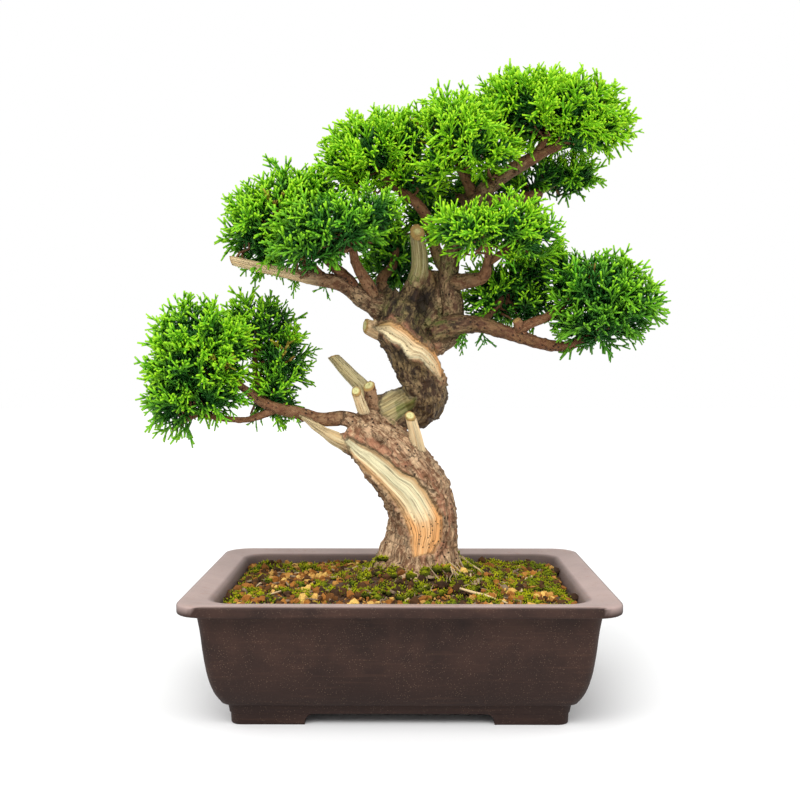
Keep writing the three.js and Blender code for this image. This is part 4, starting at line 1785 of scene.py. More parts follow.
def stripe(angle: Array, middle: Array, half_width: float) -> Array:
    """How far a place on a limb lies inside a stripe along it, from 0 to 1."""
    away = np.abs((angle - middle + math.pi) % (2 * math.pi) - math.pi)
    return 1 - step(away, half_width * 0.6, half_width * 1.4)


def lower_section(angle: Array, t: Array) -> Array:
    """The lower trunk's section: muscles of wood that twist, and a bare hollow down its front."""
    muscles = 0.05 * np.cos(5 * angle + 4 * t) + 0.03 * np.cos(3 * angle - 5 * t + 1)
    return 1 + muscles - 0.1 * step(t, 0.22, 0.35) * stripe(angle, 0.25 - 0.5 * t, 0.6)


def upper_section(angle: Array, t: Array) -> Array:
    """The upper trunk's section: lumpy old wood, with a bare stripe that winds round its front.

    Args:
        angle: the angle round the limb.
        t: the share of its length.

    Returns:
        A factor on its radius.
    """
    lumps = 0.06 * np.cos(3 * angle + 9 * t) + 0.04 * np.cos(5 * angle - 7 * t + 2)
    shown = step(t, 0.45, 0.55) * (t < 0.95)
    winding = 1.3 + (t - 0.55) * (-1.1 - 1.3) / (0.88 - 0.55)
    return 1 + lumps - 0.09 * shown * stripe(angle, winding, 0.5)


@dataclass(frozen=True)
class Root:
    """A surface root: the way it runs, in degrees, how far and how thick. Sizes in millimetres."""

    angle: float
    reach: float
    radius: float
    levels: tuple = ((0.35, 108, 1), (0.7, 95, 0.85), (0.9, 86, 0.6), (1, 78, 0.4))

    def stations(self, bed: SoilBed) -> Array:
        """The root's middle line, from the trunk down into the soil.

        Args:
            bed: the soil that it runs into.

        Returns:
            Each station's place and radius.
        """
        turn = math.radians(self.angle)
        share, z, thickness = np.array(self.levels).T
        x = bed.foot_x + share * self.reach * math.cos(turn)
        y = bed.foot_y + share * self.reach * math.sin(turn)
        return np.stack([x, y, z, self.radius * thickness], 1)


@dataclass(frozen=True)
class Clump:
    """A clump of foliage: its heart and its lobes, each x, y, z and three radii in millimetres."""

    heart: Row
    lobes: Rows

    def level(self, points: Array) -> Array:
        """How deep points lie in the clump: 0 at a lobe's middle and 1 at the clump's skin.

        Args:
            points: places, one a row.

        Returns:
            One level a place.
        """
        levels = [
            np.linalg.norm((points - np.array(lobe[:3])) / np.array(lobe[3:]), axis=1)
            for lobe in self.lobes
        ]
        return np.min(levels, axis=0)

    def half_height(self) -> float:
        """Half the height of the clump."""
        _, _, z, _, _, tall = np.array(self.lobes).T
        return (max(z + tall) - min(z - tall)) / 2


@dataclass(frozen=True)
class BareStripe:
    """A stripe of bare wood, by its two long edges as the photograph's frame shows them.

    Attributes:
        left: its lower left edge, from its upper end down.
        right: its upper right edge, the same way.
        runs: the direction across straight strands; without one, they follow the edges.
    """

    left: Rows
    right: Rows
    runs: Row = ()

    @staticmethod
    def _nearest(seen: Array, line: Sequence[Row]) -> tuple[Array, ...]:
        """The distance to an open line and the share of its length at the nearest place.

        Args:
            seen: places in the frame, one a row.
            line: the line's corners.

        Returns:
            The distances and the shares.
        """
        corners = np.array(line, float)
        lengths = np.linalg.norm(np.diff(corners, axis=0), axis=1)
        before = np.concatenate([[0], np.cumsum(lengths)])
        nearest = np.full(len(seen), 1e9)
        share = np.zeros(len(seen))
        for k, (a, b) in enumerate(zip(corners, corners[1:])):
            part = np.clip(((seen - a) @ (b - a)) / lengths[k] ** 2, 0, 1)
            away = np.linalg.norm(seen - a - part[:, None] * (b - a), axis=1)
            closer = away < nearest
            nearest = np.where(closer, away, nearest)
            share = np.where(closer, (before[k] + part * lengths[k]) / before[-1], share)
        return nearest, share

    def depth(self, seen: Array) -> Array:
        """How far inside the stripe places in the frame lie, in pixels; negative outside it.

        Args:
            seen: places in the frame, one a row.

        Returns:
            One depth a place.
        """
        corners = np.array([*self.left, *self.right[::-1]], float)
        inside = np.zeros(len(seen), bool)
        for a, b in zip(corners, np.roll(corners, -1, axis=0)):
            spans = (a[1] > seen[:, 1]) != (b[1] > seen[:, 1])
            rise = b[1] - a[1] if b[1] != a[1] else 1e-9
            inside ^= spans & (seen[:, 0] < a[0] + (b[0] - a[0]) * (seen[:, 1] - a[1]) / rise)
        nearest, _ = self._nearest(seen, [*corners, corners[0]])
        return np.where(inside, nearest, -nearest)

    def across_and_down(self, seen: Array) -> tuple[Array, Array]:
        """Where places lie from the left edge to the right one, and down the stripe, both 0 to 1.

        Args:
            seen: places in the frame, one a row.

        Returns:
            The shares across and the shares down.
        """
        to_left, down_left = self._nearest(seen, self.left)
        to_right, down_right = self._nearest(seen, self.right)
        across = to_left / np.maximum(to_left + to_right, 1e-6)
        return across, down_left * (1 - across) + down_right * across


# Shape tables: x, y, z and radius of each limb's stations, and the lobes of each clump

LOWER_TRUNK = (
    (20, 0, 60, 36), (18, 0, 82, 46), (16.5, 0, 99, 41), (17.5, 0, 112, 34.5), (19.5, 0, 127, 30.3),
    (20.5, -1, 144, 28.6), (17, -2, 161, 27.8), (7, -6, 179, 27.6), (-6, -9, 194, 26.4),
    (-19, -11, 207, 24), (-30, -11, 218, 19.5), (-37, -11, 226, 12),
)

UPPER_TRUNK = (
    (-27, -2, 220, 14), (-21, 7, 228, 17), (-7, 19, 233, 19), (9, 26, 235, 19.5), (18.5, 22, 241, 20),
    (18.5, 9, 257, 18.8), (12, 1, 275, 19.4), (5, -3, 289, 20.4), (-1, -4, 303, 21.6), (2, 0, 318, 23),
    (6, 2, 330, 17),
)

BRANCHES: dict[str, Rows] = {
    "low_left": (
        (-28, -11, 220, 9), (-43, -12, 228, 6.8), (-66, -12, 228, 5.8), (-84, -12, 233, 5.3),
        (-106, -12, 238, 4.6), (-121, -13, 247, 3.6), (-144, -16, 267, 2.1),
    ),
    "low_left_under": (
        (-102, -12, 236, 3.6), (-124, -14, 228, 2.6), (-148, -16, 229, 2.5), (-166, -16, 232, 2.3),
        (-188, -12, 219, 1.6),
    ),
    "low_left_back": (
        (-106, -11, 238, 3.4), (-115, -3, 247, 2.9), (-124, 18, 276, 2.3), (-122, 28, 300, 1.8),
    ),
    "crown_back": ((13, 8, 308, 19), (26, 12, 326, 15), (29, 12, 352, 8)),
    "left": (
        (2, -2, 316, 19), (-10, -2, 319, 14.6), (-27, -6, 326, 9.6), (-47, -10, 339, 6.8),
        (-67, -12, 343, 5.8), (-102, -12, 350, 4.6), (-140, -6, 359, 4),
    ),
    "left_upper": ((-36, -9, 331, 5.4), (-41, -12, 341, 4.9), (-55, -10, 354, 4.1), (-87, 2, 383, 2.3)),
    "left_middle": ((-60, -12, 341, 4.6), (-83, -6, 361, 3.3), (-103, 0, 374, 2.3)),
    "left_front": ((-22, -6, 325, 7), (-24, -12, 334, 5.6), (-36, -26, 356, 3.8), (-38, -40, 384, 2.2)),
    "left_back": ((-10, 2, 328, 6.5), (-16, 8, 343, 4.6), (-7, 24, 357, 3.8), (-2, 44, 386, 2.3)),
    "upper_left": (
        (39, 4, 350, 6.5), (30, 10, 369, 5.3), (25, 6, 387, 5), (18, 2, 402, 4.6), (-7, 0, 423, 3.8),
        (-28, 0, 446, 2.4),
    ),
    "right_limb": (
        (6, 3, 296, 14), (24, 8, 291, 13.5), (40, 8, 299, 12), (44, 6, 318, 9.6), (40, 3, 344, 8.6),
        (46, 5, 377, 7.6), (54, 4, 397, 7), (73, -2, 420, 7), (100, -4, 438, 5.8), (126, 0, 452, 3.8),
        (158, 4, 467, 2.3),
    ),
    "top_centre": ((63, 2, 408, 5.6), (54, -4, 427, 4.2), (41, -18, 449, 2.9), (35, -22, 463, 2.1)),
    "top_front": ((45, -15, 443, 2.7), (54, -22, 454, 2.2), (66, -24, 460, 1.7)),
    "top_right": ((112, -2, 446, 3.6), (120, -2, 460, 2.8), (122, 0, 476, 2)),
    "top_back": ((62, 3, 407, 6.2), (76, 8, 409, 5.8), (104, 28, 415, 4.3), (135, 42, 430, 2.3)),
    "top_far_back": ((56, 5, 402, 5), (54, 18, 412, 4), (45, 44, 421, 2.3)),
    "middle_right": (
        (42, 2, 341, 7.4), (54, -5, 342, 6.6), (68, -15, 345, 5), (71, -28, 365, 3), (66, -32, 378, 2.2),
    ),
    "middle_far_right": ((72, -23, 355, 3), (85, -28, 365, 2.5), (97, -32, 375, 1.8)),
    "right": (
        (28, 3, 300, 11), (44, -2, 305, 9.6), (64, -6, 306, 6.8), (101, -8, 295, 5.6), (122, -8, 289, 4.9),
        (140, -6, 289, 4), (176, -2, 306, 2.2),
    ),
    "right_front": ((95, -8, 298, 4.4), (106, -12, 306, 4), (126, -10, 315, 3.6), (154, -4, 346, 1.9)),
    "right_back": ((64, -2, 305, 5), (78, 13, 319, 3.6), (96, 28, 342, 2.1)),
}

# The branches that are joined to the trunk as one mesh, with what sets each apart

THICK_BRANCHES = {
    "crown_back": {"age": 0.6},
    "left": {"age": 0.6, "bare": 0.95, "bare_from": 0.6, "cut": 1, "lean": 0.6},
    "right": {"age": 0.95, "salmon": 0.2},
}

STUBS = (
    Limb(
        ((-25, 3, 235, 8), (-30, 8, 251, 6.9), (-43, 11, 265, 6), (-57, 14, 280, 4.8)),
        lean=-0.5, cut=0.8, bare=0.9, stain=0.6,
    ),
    Limb(
        ((-25, -12, 220, 6.6), (-29, -19, 232, 5), (-36, -26, 252, 4.2)),
        slope=0.7, cut=1, bare=0.85, stain=0.12,
    ),
    Limb(
        ((-22, -2, 228, 7), (-23, -5, 239, 5.7), (-26, -7, 256, 5.3)),
        lean=0.2, slope=0.6, cut=1, salmon=0, age=0.3,
    ),
    Limb(
        ((16, -12, 196, 6.8), (14, -20, 209, 5.3), (8, -26, 232, 4.4)),
        lean=-0.2, slope=0.7, cut=1, bare=0.95, stain=0.05,
    ),
    Limb(
        ((-8, -6, 297, 9), (-20, -12, 301, 7), (-29, -16, 305, 6)),
        lean=0.3, cut=0.9, bare=0.5, salmon=1, stain=0.2,
    ),
    Limb(
        ((5, -1, 322, 10), (11, -4, 336, 9), (16, -6, 352, 7.2), (14, -8, 383, 6.4)),
        lean=-0.15, slope=1.1, cut=0.75, bare=0.75, bare_from=0.42, stain=0.8, age=0.6,
    ),
    Limb(((18, 2, 326, 10), (23, 0, 340, 7.5), (23, -3, 351, 4.2)), age=0.95, salmon=0),
    Limb(((101, -9, 300, 4.6), (95, -13, 310, 3.8)), cut=0.6, salmon=0.8),
)

JIN = (-34, -10, 204, 10), (-51, -14, 211, 6.4), (-66, -16, 220, 4), (-81, -18, 230, 1.6)

CLUMPS: dict[str, Clump] = {
    "foliage_low_left": Clump((-168, -13, 277), (
        (-166, -12, 297, 41, 44, 30), (-169, -14, 272, 41, 46, 31), (-147, -8, 285, 31, 42, 31),
        (-185, -12, 244, 27, 34, 30), (-152, -18, 246, 23, 28, 18),
    )),
    "foliage_low_left_back": Clump((-108, 22, 278), (
        (-122, 32, 308, 35, 38, 28), (-101, 22, 274, 25, 34, 34), (-107, 10, 245, 22, 28, 24),
    )),
    "foliage_left": Clump((-108, 6, 392), (
        (-115, 2, 383, 33, 44, 32), (-91, 8, 405, 35, 46, 32), (-125, 10, 393, 24, 36, 29),
        (-70, 6, 416, 21, 32, 21),
    )),
    "foliage_left_front": Clump((-54, -43, 380), (
        (-55, -42, 381, 46, 40, 30), (-77, -44, 367, 27, 32, 24), (-21, -40, 393, 24, 30, 20),
    )),
    "foliage_left_inner_back": Clump((-6, 47, 376), (
        (-2, 46, 361, 32, 36, 30), (-18, 44, 383, 25, 30, 25), (21, 50, 405, 21, 26, 16),
    )),
    "foliage_upper_left": Clump((-14, 2, 446), (
        (-25, 2, 451, 38, 46, 33), (-45, 0, 438, 25, 36, 23), (10, 4, 455, 28, 42, 32),
        (12, 8, 427, 32, 32, 20),
    )),
    "foliage_top_centre": Clump((50, -23, 454), (
        (42, -22, 462, 33, 42, 31), (59, -26, 453, 32, 40, 28), (29, -16, 443, 23, 32, 25),
        (82, -24, 444, 16, 26, 19),
    )),
    "foliage_top_right": Clump((128, 1, 481), (
        (106, 0, 482, 42, 48, 34), (145, 4, 483, 42, 48, 32), (165, 2, 467, 27, 36, 23),
        (84, -4, 486, 22, 34, 22), (121, 0, 491, 26, 34, 24), (148, 4, 464, 32, 38, 22),
    )),
    "foliage_top_right_back": Clump((100, 47, 431), (
        (128, 44, 433, 39, 32, 20), (152, 40, 434, 21, 24, 17), (76, 48, 432, 35, 30, 19),
        (38, 50, 419, 30, 30, 21),
    )),
    "foliage_middle_right": Clump((77, -33, 379), (
        (53, -34, 379, 32, 34, 22), (88, -34, 384, 31, 32, 21), (106, -26, 373, 24, 28, 20),
    )),
    "foliage_right_inner_back": Clump((94, 27, 337), (
        (99, 28, 340, 38, 36, 28), (77, 24, 328, 28, 32, 24), (118, 30, 356, 22, 28, 22),
        (112, 18, 322, 24, 28, 22),
    )),
    "foliage_right": Clump((167, -2, 322), (
        (160, -2, 335, 42, 46, 33), (185, 2, 323, 31, 42, 32), (159, -6, 308, 36, 40, 25),
        (135, 4, 348, 22, 32, 23),
    )),
}

ROOTS = (
    Root(-20, 60, 8.5), Root(38, 58, 9), Root(98, 54, 10), Root(158, 54, 9), Root(216, 54, 9),
    Root(284, 52, 8.5),
)

# Where bare wood shows, by its edges in the photograph's frame

LOWER_BARE = BareStripe(
    (
        (340, 445), (350, 457.5), (363.5, 470), (377, 483), (389, 496.5), (399.5, 511),
        (405, 523), (410.5, 536.5), (411, 546), (413.5, 557),
    ),
    (
        (347.5, 436), (361, 444), (374, 449.5), (387.5, 459), (402, 472), (415.5, 477.5),
        (426.5, 491), (436, 506), (442, 516.5), (442.5, 528.5), (440.5, 542), (433, 553.5),
    ),
)
UPPER_BARE = BareStripe(
    (
        (373, 327), (379, 332), (390, 342), (400, 346), (408.5, 359), (420, 359), (428, 366),
        (436.5, 375.5), (442, 382),
    ),
    (
        (377.5, 323), (390, 319.5), (403, 326.5), (414, 336.5), (427, 343.5), (436.5, 350.5),
        (443.5, 361.5), (445, 375),
    ),
)
MOSSY_BARE = BareStripe(
    ((381, 411), (386, 417), (394.5, 424), (401, 417), (414, 407), (416, 398)),
    ((378, 404), (382, 396), (388, 389), (403, 389), (410, 397)),
    runs=(0.5, 0.87),
)

# Places in that frame where moss stains the bark, each with its reach in pixels

MOSSY_BARK = (((446, 262), 15), ((435, 322), 16), ((392, 308), 12))


@dataclass
class Skin:
    """The points of the wood's surface with what each carving rule needs to know of them.

    Attributes:
        points: their places.
        normals: the directions that the surface faces there.
        limb: the number of the limb that each lies on.
        radius: that limb's radius there.
        share: the share of that limb's length.
        grain: the place across and along that limb, laid out straight.
        past_end: how far past the plane of that limb's cut end a point lies; negative before it.
        off_middle: the distance from the limb's middle line, against its radius.
        seen: where each shows in the photograph's frame.
        facing: how far each faces the camera.
    """

    points: Array
    normals: Array
    limb: Array
    radius: Array
    share: Array
    grain: Array
    past_end: Array
    off_middle: Array
    seen: Array
    facing: Array

    @staticmethod
    def read(shell: Shell, limbs: Sequence[Limb], camera: PhotoCamera) -> "Skin":
        """Finds the limb that each point of a shell belongs to and its place along it.

        Args:
            shell: the wood's skin.
            limbs: the limbs that it covers.
            camera: the camera that sees it.

        Returns:
            The skin with what it knows of each point.
        """
        points, normals = shell.points, shell.normals()
        count = len(points)
        best = np.full(count, 1e9)
        limb_of = np.zeros(count, np.int32)
        radius, share, off_middle = np.ones(count), np.zeros(count), np.zeros(count)
        past_end = np.full(count, -1e3)
        grain = np.zeros((count, 3))
        for k, limb in enumerate(limbs):
            spine = limb.spine()
            tilt = limb.slope * spine.normal[-1] - limb.lean * spine.across[-1]
            cut_plane = unit(spine.along[-1] + tilt)
            for i in range(len(spine.share) - 1):
                offset = points - spine.centre[i]
                search = spine.radius[i] * SEARCH_SHARE + SEARCH_MORE
                near = np.flatnonzero(np.abs(offset).max(axis=1) < search)
                offset = offset[near]
                stride = spine.centre[i + 1] - spine.centre[i]
                part = np.clip((offset @ stride) / (stride @ stride), 0, 1)
                r = spine.radius[i] * (1 - part) + spine.radius[i + 1] * part
                away = np.linalg.norm(offset - part[:, None] * stride, axis=1)
                closer = away - r < best[near]
                at, part, r, offset, away = (v[closer] for v in (near, part, r, offset, away))
                best[at] = away - r
                limb_of[at] = k
                radius[at] = r
                off_middle[at] = away / r
                share[at] = spine.share[i] + part * (spine.share[i + 1] - spine.share[i])
                run = spine.run[i] + part * (spine.run[i + 1] - spine.run[i])
                sideways = np.stack([offset @ spine.normal[i], offset @ spine.across[i]], 1)
                grain[at] = np.column_stack([sideways + BARK_APART * k, run])
                past_end[at] = (points[at] - spine.centre[-1]) @ cut_plane
        seen, facing = camera.seen(points), camera.facing(points, normals)
        return Skin(
            points, normals, limb_of, radius, share, grain, past_end, off_middle, seen, facing
        )


@dataclass
class TreeWood:
    """Trunk, roots, branches and stubs as one body of old wood. Sizes are in millimetres.

    Attributes:
        voxel: the grain of the mesh that joins the thick limbs.
        plate: how far bark plates stand proud on the trunk.
        recess: how deep bare wood lies below the bark.
        lip: how high the bark rises round it.
        hollow_at: where the crown's hollow shows in the photograph's frame.
        hollow_reach: how far it reaches there, sideways and up.
        hollow_depth: how deep it is.
    """

    bed: SoilBed
    camera: PhotoCamera
    voxel: float = 1.25
    plate: float = 1.25
    recess: float = 1.4
    lip: float = 2.0
    hollow_at: Row = (427, 303)
    hollow_reach: Row = (7, 15)
    hollow_depth: float = 3.5
    limbs: list[Limb] = field(init=False)

    def __post_init__(self) -> None:
        """Lists every limb, those that the mesh joins first."""
        thin = [stations for name, stations in BRANCHES.items() if name not in THICK_BRANCHES]
        self.limbs = [
            Limb(LOWER_TRUNK, age=0.1, section=lower_section, sides=40, spacing=2.5),
            Limb(UPPER_TRUNK, age=0.9, salmon=0.05, section=upper_section, sides=36, spacing=2.5),
            *(Limb(BRANCHES[name], **traits) for name, traits in THICK_BRANCHES.items()),
            *STUBS,
            Limb(JIN, bare=0.85, stain=0.3),
            *(Limb(stations, age=0.65, sides=18, spacing=2) for stations in thin),
            *(Limb(root.stations(self.bed), age=0.3, stain=0.5) for root in ROOTS),
        ]
        self.joined_count = len(self.limbs) - len(thin) - len(ROOTS)

    def build(self, finishes: Finishes) -> None:
        """Grows the wood, carves its surface and dresses it.

        Args:
            finishes: the finishes to choose from.
        """
        body = Shell.joined([limb.shell() for limb in self.limbs[: self.joined_count]])
        joined = body.mesh_object("tree_wood_joined")
        apply_modifier(joined, "REMESH", mode="VOXEL", voxel_size=self.voxel * MM)
        apply_modifier(joined, "SMOOTH", factor=0.5, iterations=2)
        apply_modifier(joined, "TRIANGULATE")
        shells = [Shell.of_object(joined)]
        shells += [limb.shell() for limb in self.limbs[self.joined_count :]]
        wood = Shell.joined(shells)
        skin = Skin.read(wood, self.limbs, self.camera)
        wood.points, wood.looks = self._carved(skin)
        dress(wood.mesh_object("tree_wood_dressed"), finishes.wood, Slot.WOOD, "trunk")

    def _of_limb(self, skin: Skin, name: str) -> Array:
        """Each point's value of one of its limb's traits."""
        return np.array([getattr(limb, name) for limb in self.limbs], float)[skin.limb]

    def _carved(self, skin: Skin) -> tuple[Array, dict[str, Array]]:
        """Carves bark, bare stripes and cracks into the skin and works out its looks, with painted shade
        in crevices, on undersides, under the bark's lip and in the crown's hollow.

        Args:
            skin: the skin as it was read.

        Returns:
            The moved points and the looks by name.
        """
        ragged = 1.8 * Roughness(2).layered(skin.points / 4, 3)
        stripes = {
            LOWER_BARE: skin.limb == 0,
            UPPER_BARE: skin.limb > 0,
            MOSSY_BARE: np.ones(len(skin.limb), bool),
        }
        count = len(skin.points)
        past = skin.share - self._of_limb(skin, "bare_from")
        bare = self._of_limb(skin, "bare") * step(past, 0, 0.24)
        stain = self._of_limb(skin, "stain")
        sideways = (skin.grain[:, 1] - BARK_APART * skin.limb) / (2.2 * skin.radius)
        strand = np.column_stack([0.5 + sideways, skin.grain[:, 2] / 50, skin.limb * 3.7])
        warm = np.full(count, 0.42)
        groove, lip, under_lip_shade, masks = np.zeros(count), np.zeros(count), np.zeros(count), []
        for number, (stripe_shape, limbs) in enumerate(stripes.items()):
            depth = stripe_shape.depth(skin.seen) + ragged
            across, down = stripe_shape.across_and_down(skin.seen)
            shown = step(skin.facing, 0.02, 0.2) * limbs
            mask = step(depth, -1.2, 0.5) * shown
            masks.append(mask)
            own = np.column_stack([across, down, np.full(count, 31.0 + number)])
            if stripe_shape.runs:
                straight = skin.seen @ np.array([stripe_shape.runs, stripe_shape.runs[::-1]]).T
                own[:, :2] = straight * np.array([1, -1]) / 45
            strand = np.where(mask[:, None] > 0.02, own, strand)
            warm = warm * (1 - mask) + mask * self._warmth(number, across, down)
            stain = stain * (1 - mask) + mask * self._stained(number, across, down)
            right_side = step(across, 0.4, 0.75)
            raised = step(depth, -7, -2.2) * step(depth, -0.2, -1.6)
            lip = np.maximum(lip, raised * shown * (0.55 + 0.45 * right_side) * (number < 2))
            # Painted shade inside the bare stripe under the bark's lip; the recess is also sunk deeper
            # there.
            under_lip = step(depth, 2.1, 0.5) * (0.6 + 0.35 * right_side)
            under_lip_shade = np.maximum(under_lip_shade, under_lip * mask)
            groove += mask * np.exp(-(((across - 0.3) / 0.045) ** 2)) * (number < 2)
        bare = np.clip(np.maximum.reduce([bare, *masks]), 0, 1)

        cut_mask = step(skin.past_end, -1.3, -0.5) * self._of_limb(skin, "cut")
        cut = cut_mask * (1 - 0.62 * np.clip(skin.off_middle, 0, 1) ** 2)
        bark_rise, sunk, knobs = self._bark_relief(skin)
        bare_rise = self._bare_relief(strand) * (0.1 + 0.9 * step(skin.radius, 4, 14)) - groove
        bare_rise -= np.maximum(masks[0], masks[1]) * (self.recess + 0.5 * under_lip_shade)
        pitted = np.maximum(masks[0] * step(strand[:, 1], 0.6, 0.85), masks[1] * 0.6)
        # the crown's hollow is carved in and darkened with painted shade
        hollow = self._crown_hollow(skin)
        rise = (bark_rise - sunk) * (1 - bare) + bare_rise * bare + lip * self.lip
        rise -= hollow * self.hollow_depth
        rise *= 1 - 0.85 * np.clip(cut_mask * 1.4, 0, 1)

        thick = step(skin.radius, 3, 22)
        # Painted shade: bark darkened in its crevices, on the undersides of thick limbs, on the shaded
        # side of knobs and in the crown's hollow.
        dark = step(bark_rise, -0.6, -2.5) * (0.35 + 0.6 * thick)
        under = step(skin.normals[:, 2], -0.4, -0.95) * thick * 0.3
        knob_shade = knobs * step(-skin.normals[:, 2] - skin.normals[:, 0] * 0.4, -0.2, 0.7)
        bark_painted_shade = np.clip(dark + under + knob_shade * 0.6 + hollow, 0, 1)
        for place, reach in MOSSY_BARK:
            away = np.linalg.norm(skin.seen - np.array(place), axis=1) / reach
            stain = np.maximum(stain, np.exp(-(away**2)) * step(skin.facing, 0, 0.3))
        looks = {
            "grain": (skin.grain + np.array([0, 0, 40])) * MM,
            "strand": strand,
            "age": self._aged(skin),
            "salmon": self._salmon(skin),
            "twig": step(skin.radius, 9, 4) * (skin.limb > 1),
            # the hollow look carries painted shade: on bark from the lines above, on bare wood under the
            # bark's lip
            "hollow": bark_painted_shade * (1 - bare) + under_lip_shade * bare,
            "stain": np.clip(stain, 0, 1),
            "warm": np.clip(warm, 0, 1),
            "pitted": np.clip(pitted, 0, 1),
            "bare": bare * (1 - np.clip(cut_mask * 1.2, 0, 1)),
            "cut": cut,
        }
        return skin.points + skin.normals * rise[:, None], looks

    def _bark_relief(self, skin: Skin) -> tuple[Array, Array, Array]:
        """How far bark rises, how far it lies under the limb's skin, and where knobs stand.

        Args:
            skin: the skin as it was read.

        Returns:
            The rise, the depth and the knobs.
        """
        noise, fine = Roughness(2), Roughness(4)
        thick = step(skin.radius, 3, 22)
        old = step(self._of_limb(skin, "age"), 0.2, 0.8)
        bent = noise.layered(skin.points / 7 + 30, 2)[:, None] * 0.3
        lumps = step(noise.lumps(skin.points / 15 + bent), 0, 0.35) - 0.65
        plates = step(noise.lumps(skin.grain / np.array([7, 7, 13]) + bent), 0, 0.3) - 0.6
        swells = noise.at(skin.points / 20 + 11)
        ridges = 0.6 - 2.4 * np.abs(noise.layered(skin.grain / np.array([5, 5, 14]) + 40, 2))
        flakes = fine.layered(skin.grain / np.array([2.6, 2.6, 4]), 2)
        knobs = step(fine.at(skin.points / 4 + 7), 0.45, 0.75)
        rise = (lumps * (0.3 + old) + swells * 1.9 * old) * thick
        rise += (plates * (0.9 - 0.4 * old) + ridges * 0.45) * self.plate * (0.3 + 0.7 * thick)
        rise += flakes * (0.5 + 0.25 * thick) + knobs * (0.5 + 0.85 * thick)
        return rise, (0.4 + 0.9 * old) * thick, knobs

    @staticmethod
    def _bare_relief(strand: Array) -> Array:
        """How far the strands of bare wood rise.

        Args:
            strand: places across, down and between the strands.

        Returns:
            One rise a place.
        """
        noise = Roughness(6)
        broad = noise.layered(strand * np.array([7, 1.6, 1]), 2)
        fine = noise.layered(strand * np.array([21, 3, 1]) + 5, 2)
        return broad + fine * 0.4

    @staticmethod
    def _warmth(number: int, across: Array, down: Array) -> Array:
        """How tan each stripe is: the lower one along its edges and low down.

        Args:
            number: the stripe's number.
            across: shares across it.
            down: shares down it.

        Returns:
            One value a place.
        """
        if number == 0:
            edges = 0.7 * step(across, 0.3, 0.06) + 0.6 * step(across, 0.72, 0.95)
            return 0.06 + edges + 0.85 * step(down, 0.62, 0.88)
        if number == 1:
            return 0.28 + 0.65 * step(across, 0.42, 0.9) + 0.25 * step(down, 0.7, 1)
        return np.full(len(across), 0.45)

    @staticmethod
    def _stained(number: int, across: Array, down: Array) -> Array:
        """How green each stripe is: the last one most of all, at its lower right.

        Args:
            number: the stripe's number.
            across: shares across it.
            down: shares down it.

        Returns:
            One value a place.
        """
        if number == 0:
            return 0.16 * step(across, 0.2, 0.4) * step(down, 0.75, 0.4)
        if number == 1:
            return 0.45 * step(down, 0.3, 0.05) * step(across, 0.35, 0.7)
        return 0.65 + 0.6 * step(across, 0.65, 0.35) * step(down, 0.3, 0.6)

    def _crown_hollow(self, skin: Skin) -> Array:
        """The hollow between the limbs at the top of the trunk, carved in and darkened with painted shade.

        Args:
            skin: the skin as it was read.

        Returns:
            How deep it is at each point, from 0 to 1.
        """
        away = (skin.seen - np.array(self.hollow_at)) / np.array(self.hollow_reach)
        uneven = 1 + 0.7 * Roughness(8).layered(skin.points / 5, 2)
        return np.clip(1.15 * uneven * np.exp(-((away**2).sum(axis=1) ** 1.5)), 0, 1)

    def _aged(self, skin: Skin) -> Array:
        """How dark and rough the bark is, in soft patches."""
        patches = Roughness(12).layered(skin.points / 18, 2)
        return np.clip(self._of_limb(skin, "age") + 0.22 * patches, 0, 1)

    def _salmon(self, skin: Skin) -> Array:
        """Where the bark shows salmon: beside the bare stripes and as the limbs say.

        Args:
            skin: the skin as it was read.

        Returns:
            One value a point.
        """
        near = np.zeros(len(skin.points))
        for shape, reach in ((LOWER_BARE, 19), (UPPER_BARE, 8)):
            across, _ = shape.across_and_down(skin.seen)
            outside = -shape.depth(skin.seen)
            beside = step(outside, reach, reach * 0.3) * step(across, 0.3, 0.6)
            beside = np.maximum(beside, 0.6 * step(outside, 5, 1))
            near = np.maximum(near, beside * step(skin.facing, 0, 0.3))
        return np.clip(self._of_limb(skin, "salmon") + 0.62 * near, 0, 1)


# Sprays that stand or hang apart from their clump: foot, direction and size

LOOSE_SPRAYS: dict[str, Rows] = {
    "foliage_low_left_back": (
        (-112, -4, 246, -0.2, -0.3, -1, 0.7), (-104, -6, 243, 0.2, -0.3, -1, 0.7),
        (-95, -4, 241, 0.6, -0.3, -0.9, 0.65),
    ),
    "foliage_left": (
        (-128, 2, 375, -0.15, -0.3, -1, 0.75), (-100, 2, 368, 0, -0.25, -1, 0.75),
        (-86, 4, 361, -0.1, -0.3, -1, 0.75), (-56, 4, 359, -0.3, -0.3, -1, 0.75),
        (-96, 2, 413, 0.03, 0, 1, 0.95),
    ),
    "foliage_right": (
        (56, 6, 312, 0.1, -0.4, -1, 0.75), (52, 6, 312, -0.25, -0.4, -1, 0.75),
        (66, 4, 310, 0.1, -0.4, -1, 0.7),
    ),
}


# Foliage


@dataclass(frozen=True)
class SprayKind:
    """The character of a clump's sprays.

    Attributes:
        density: sprays per square millimetre of each lobe's skin.
        length: how long the sprays are against the usual ones.
        shade: how much painted shade darkens their green; below 0, how much painted light brightens it.
        rise: how strongly they grow away from the clump's lower side.
        below: the share of them that grow on the underside.
        fresh_and_lit: how much paler their green is, as fresher shoots and, for the top clumps, painted
            light.
    """

    density: float = 0.0044
    length: float = 1.0
    shade: float = 0.0
    rise: float = 1.1
    below: float = 0.65
    fresh_and_lit: float = 0.0


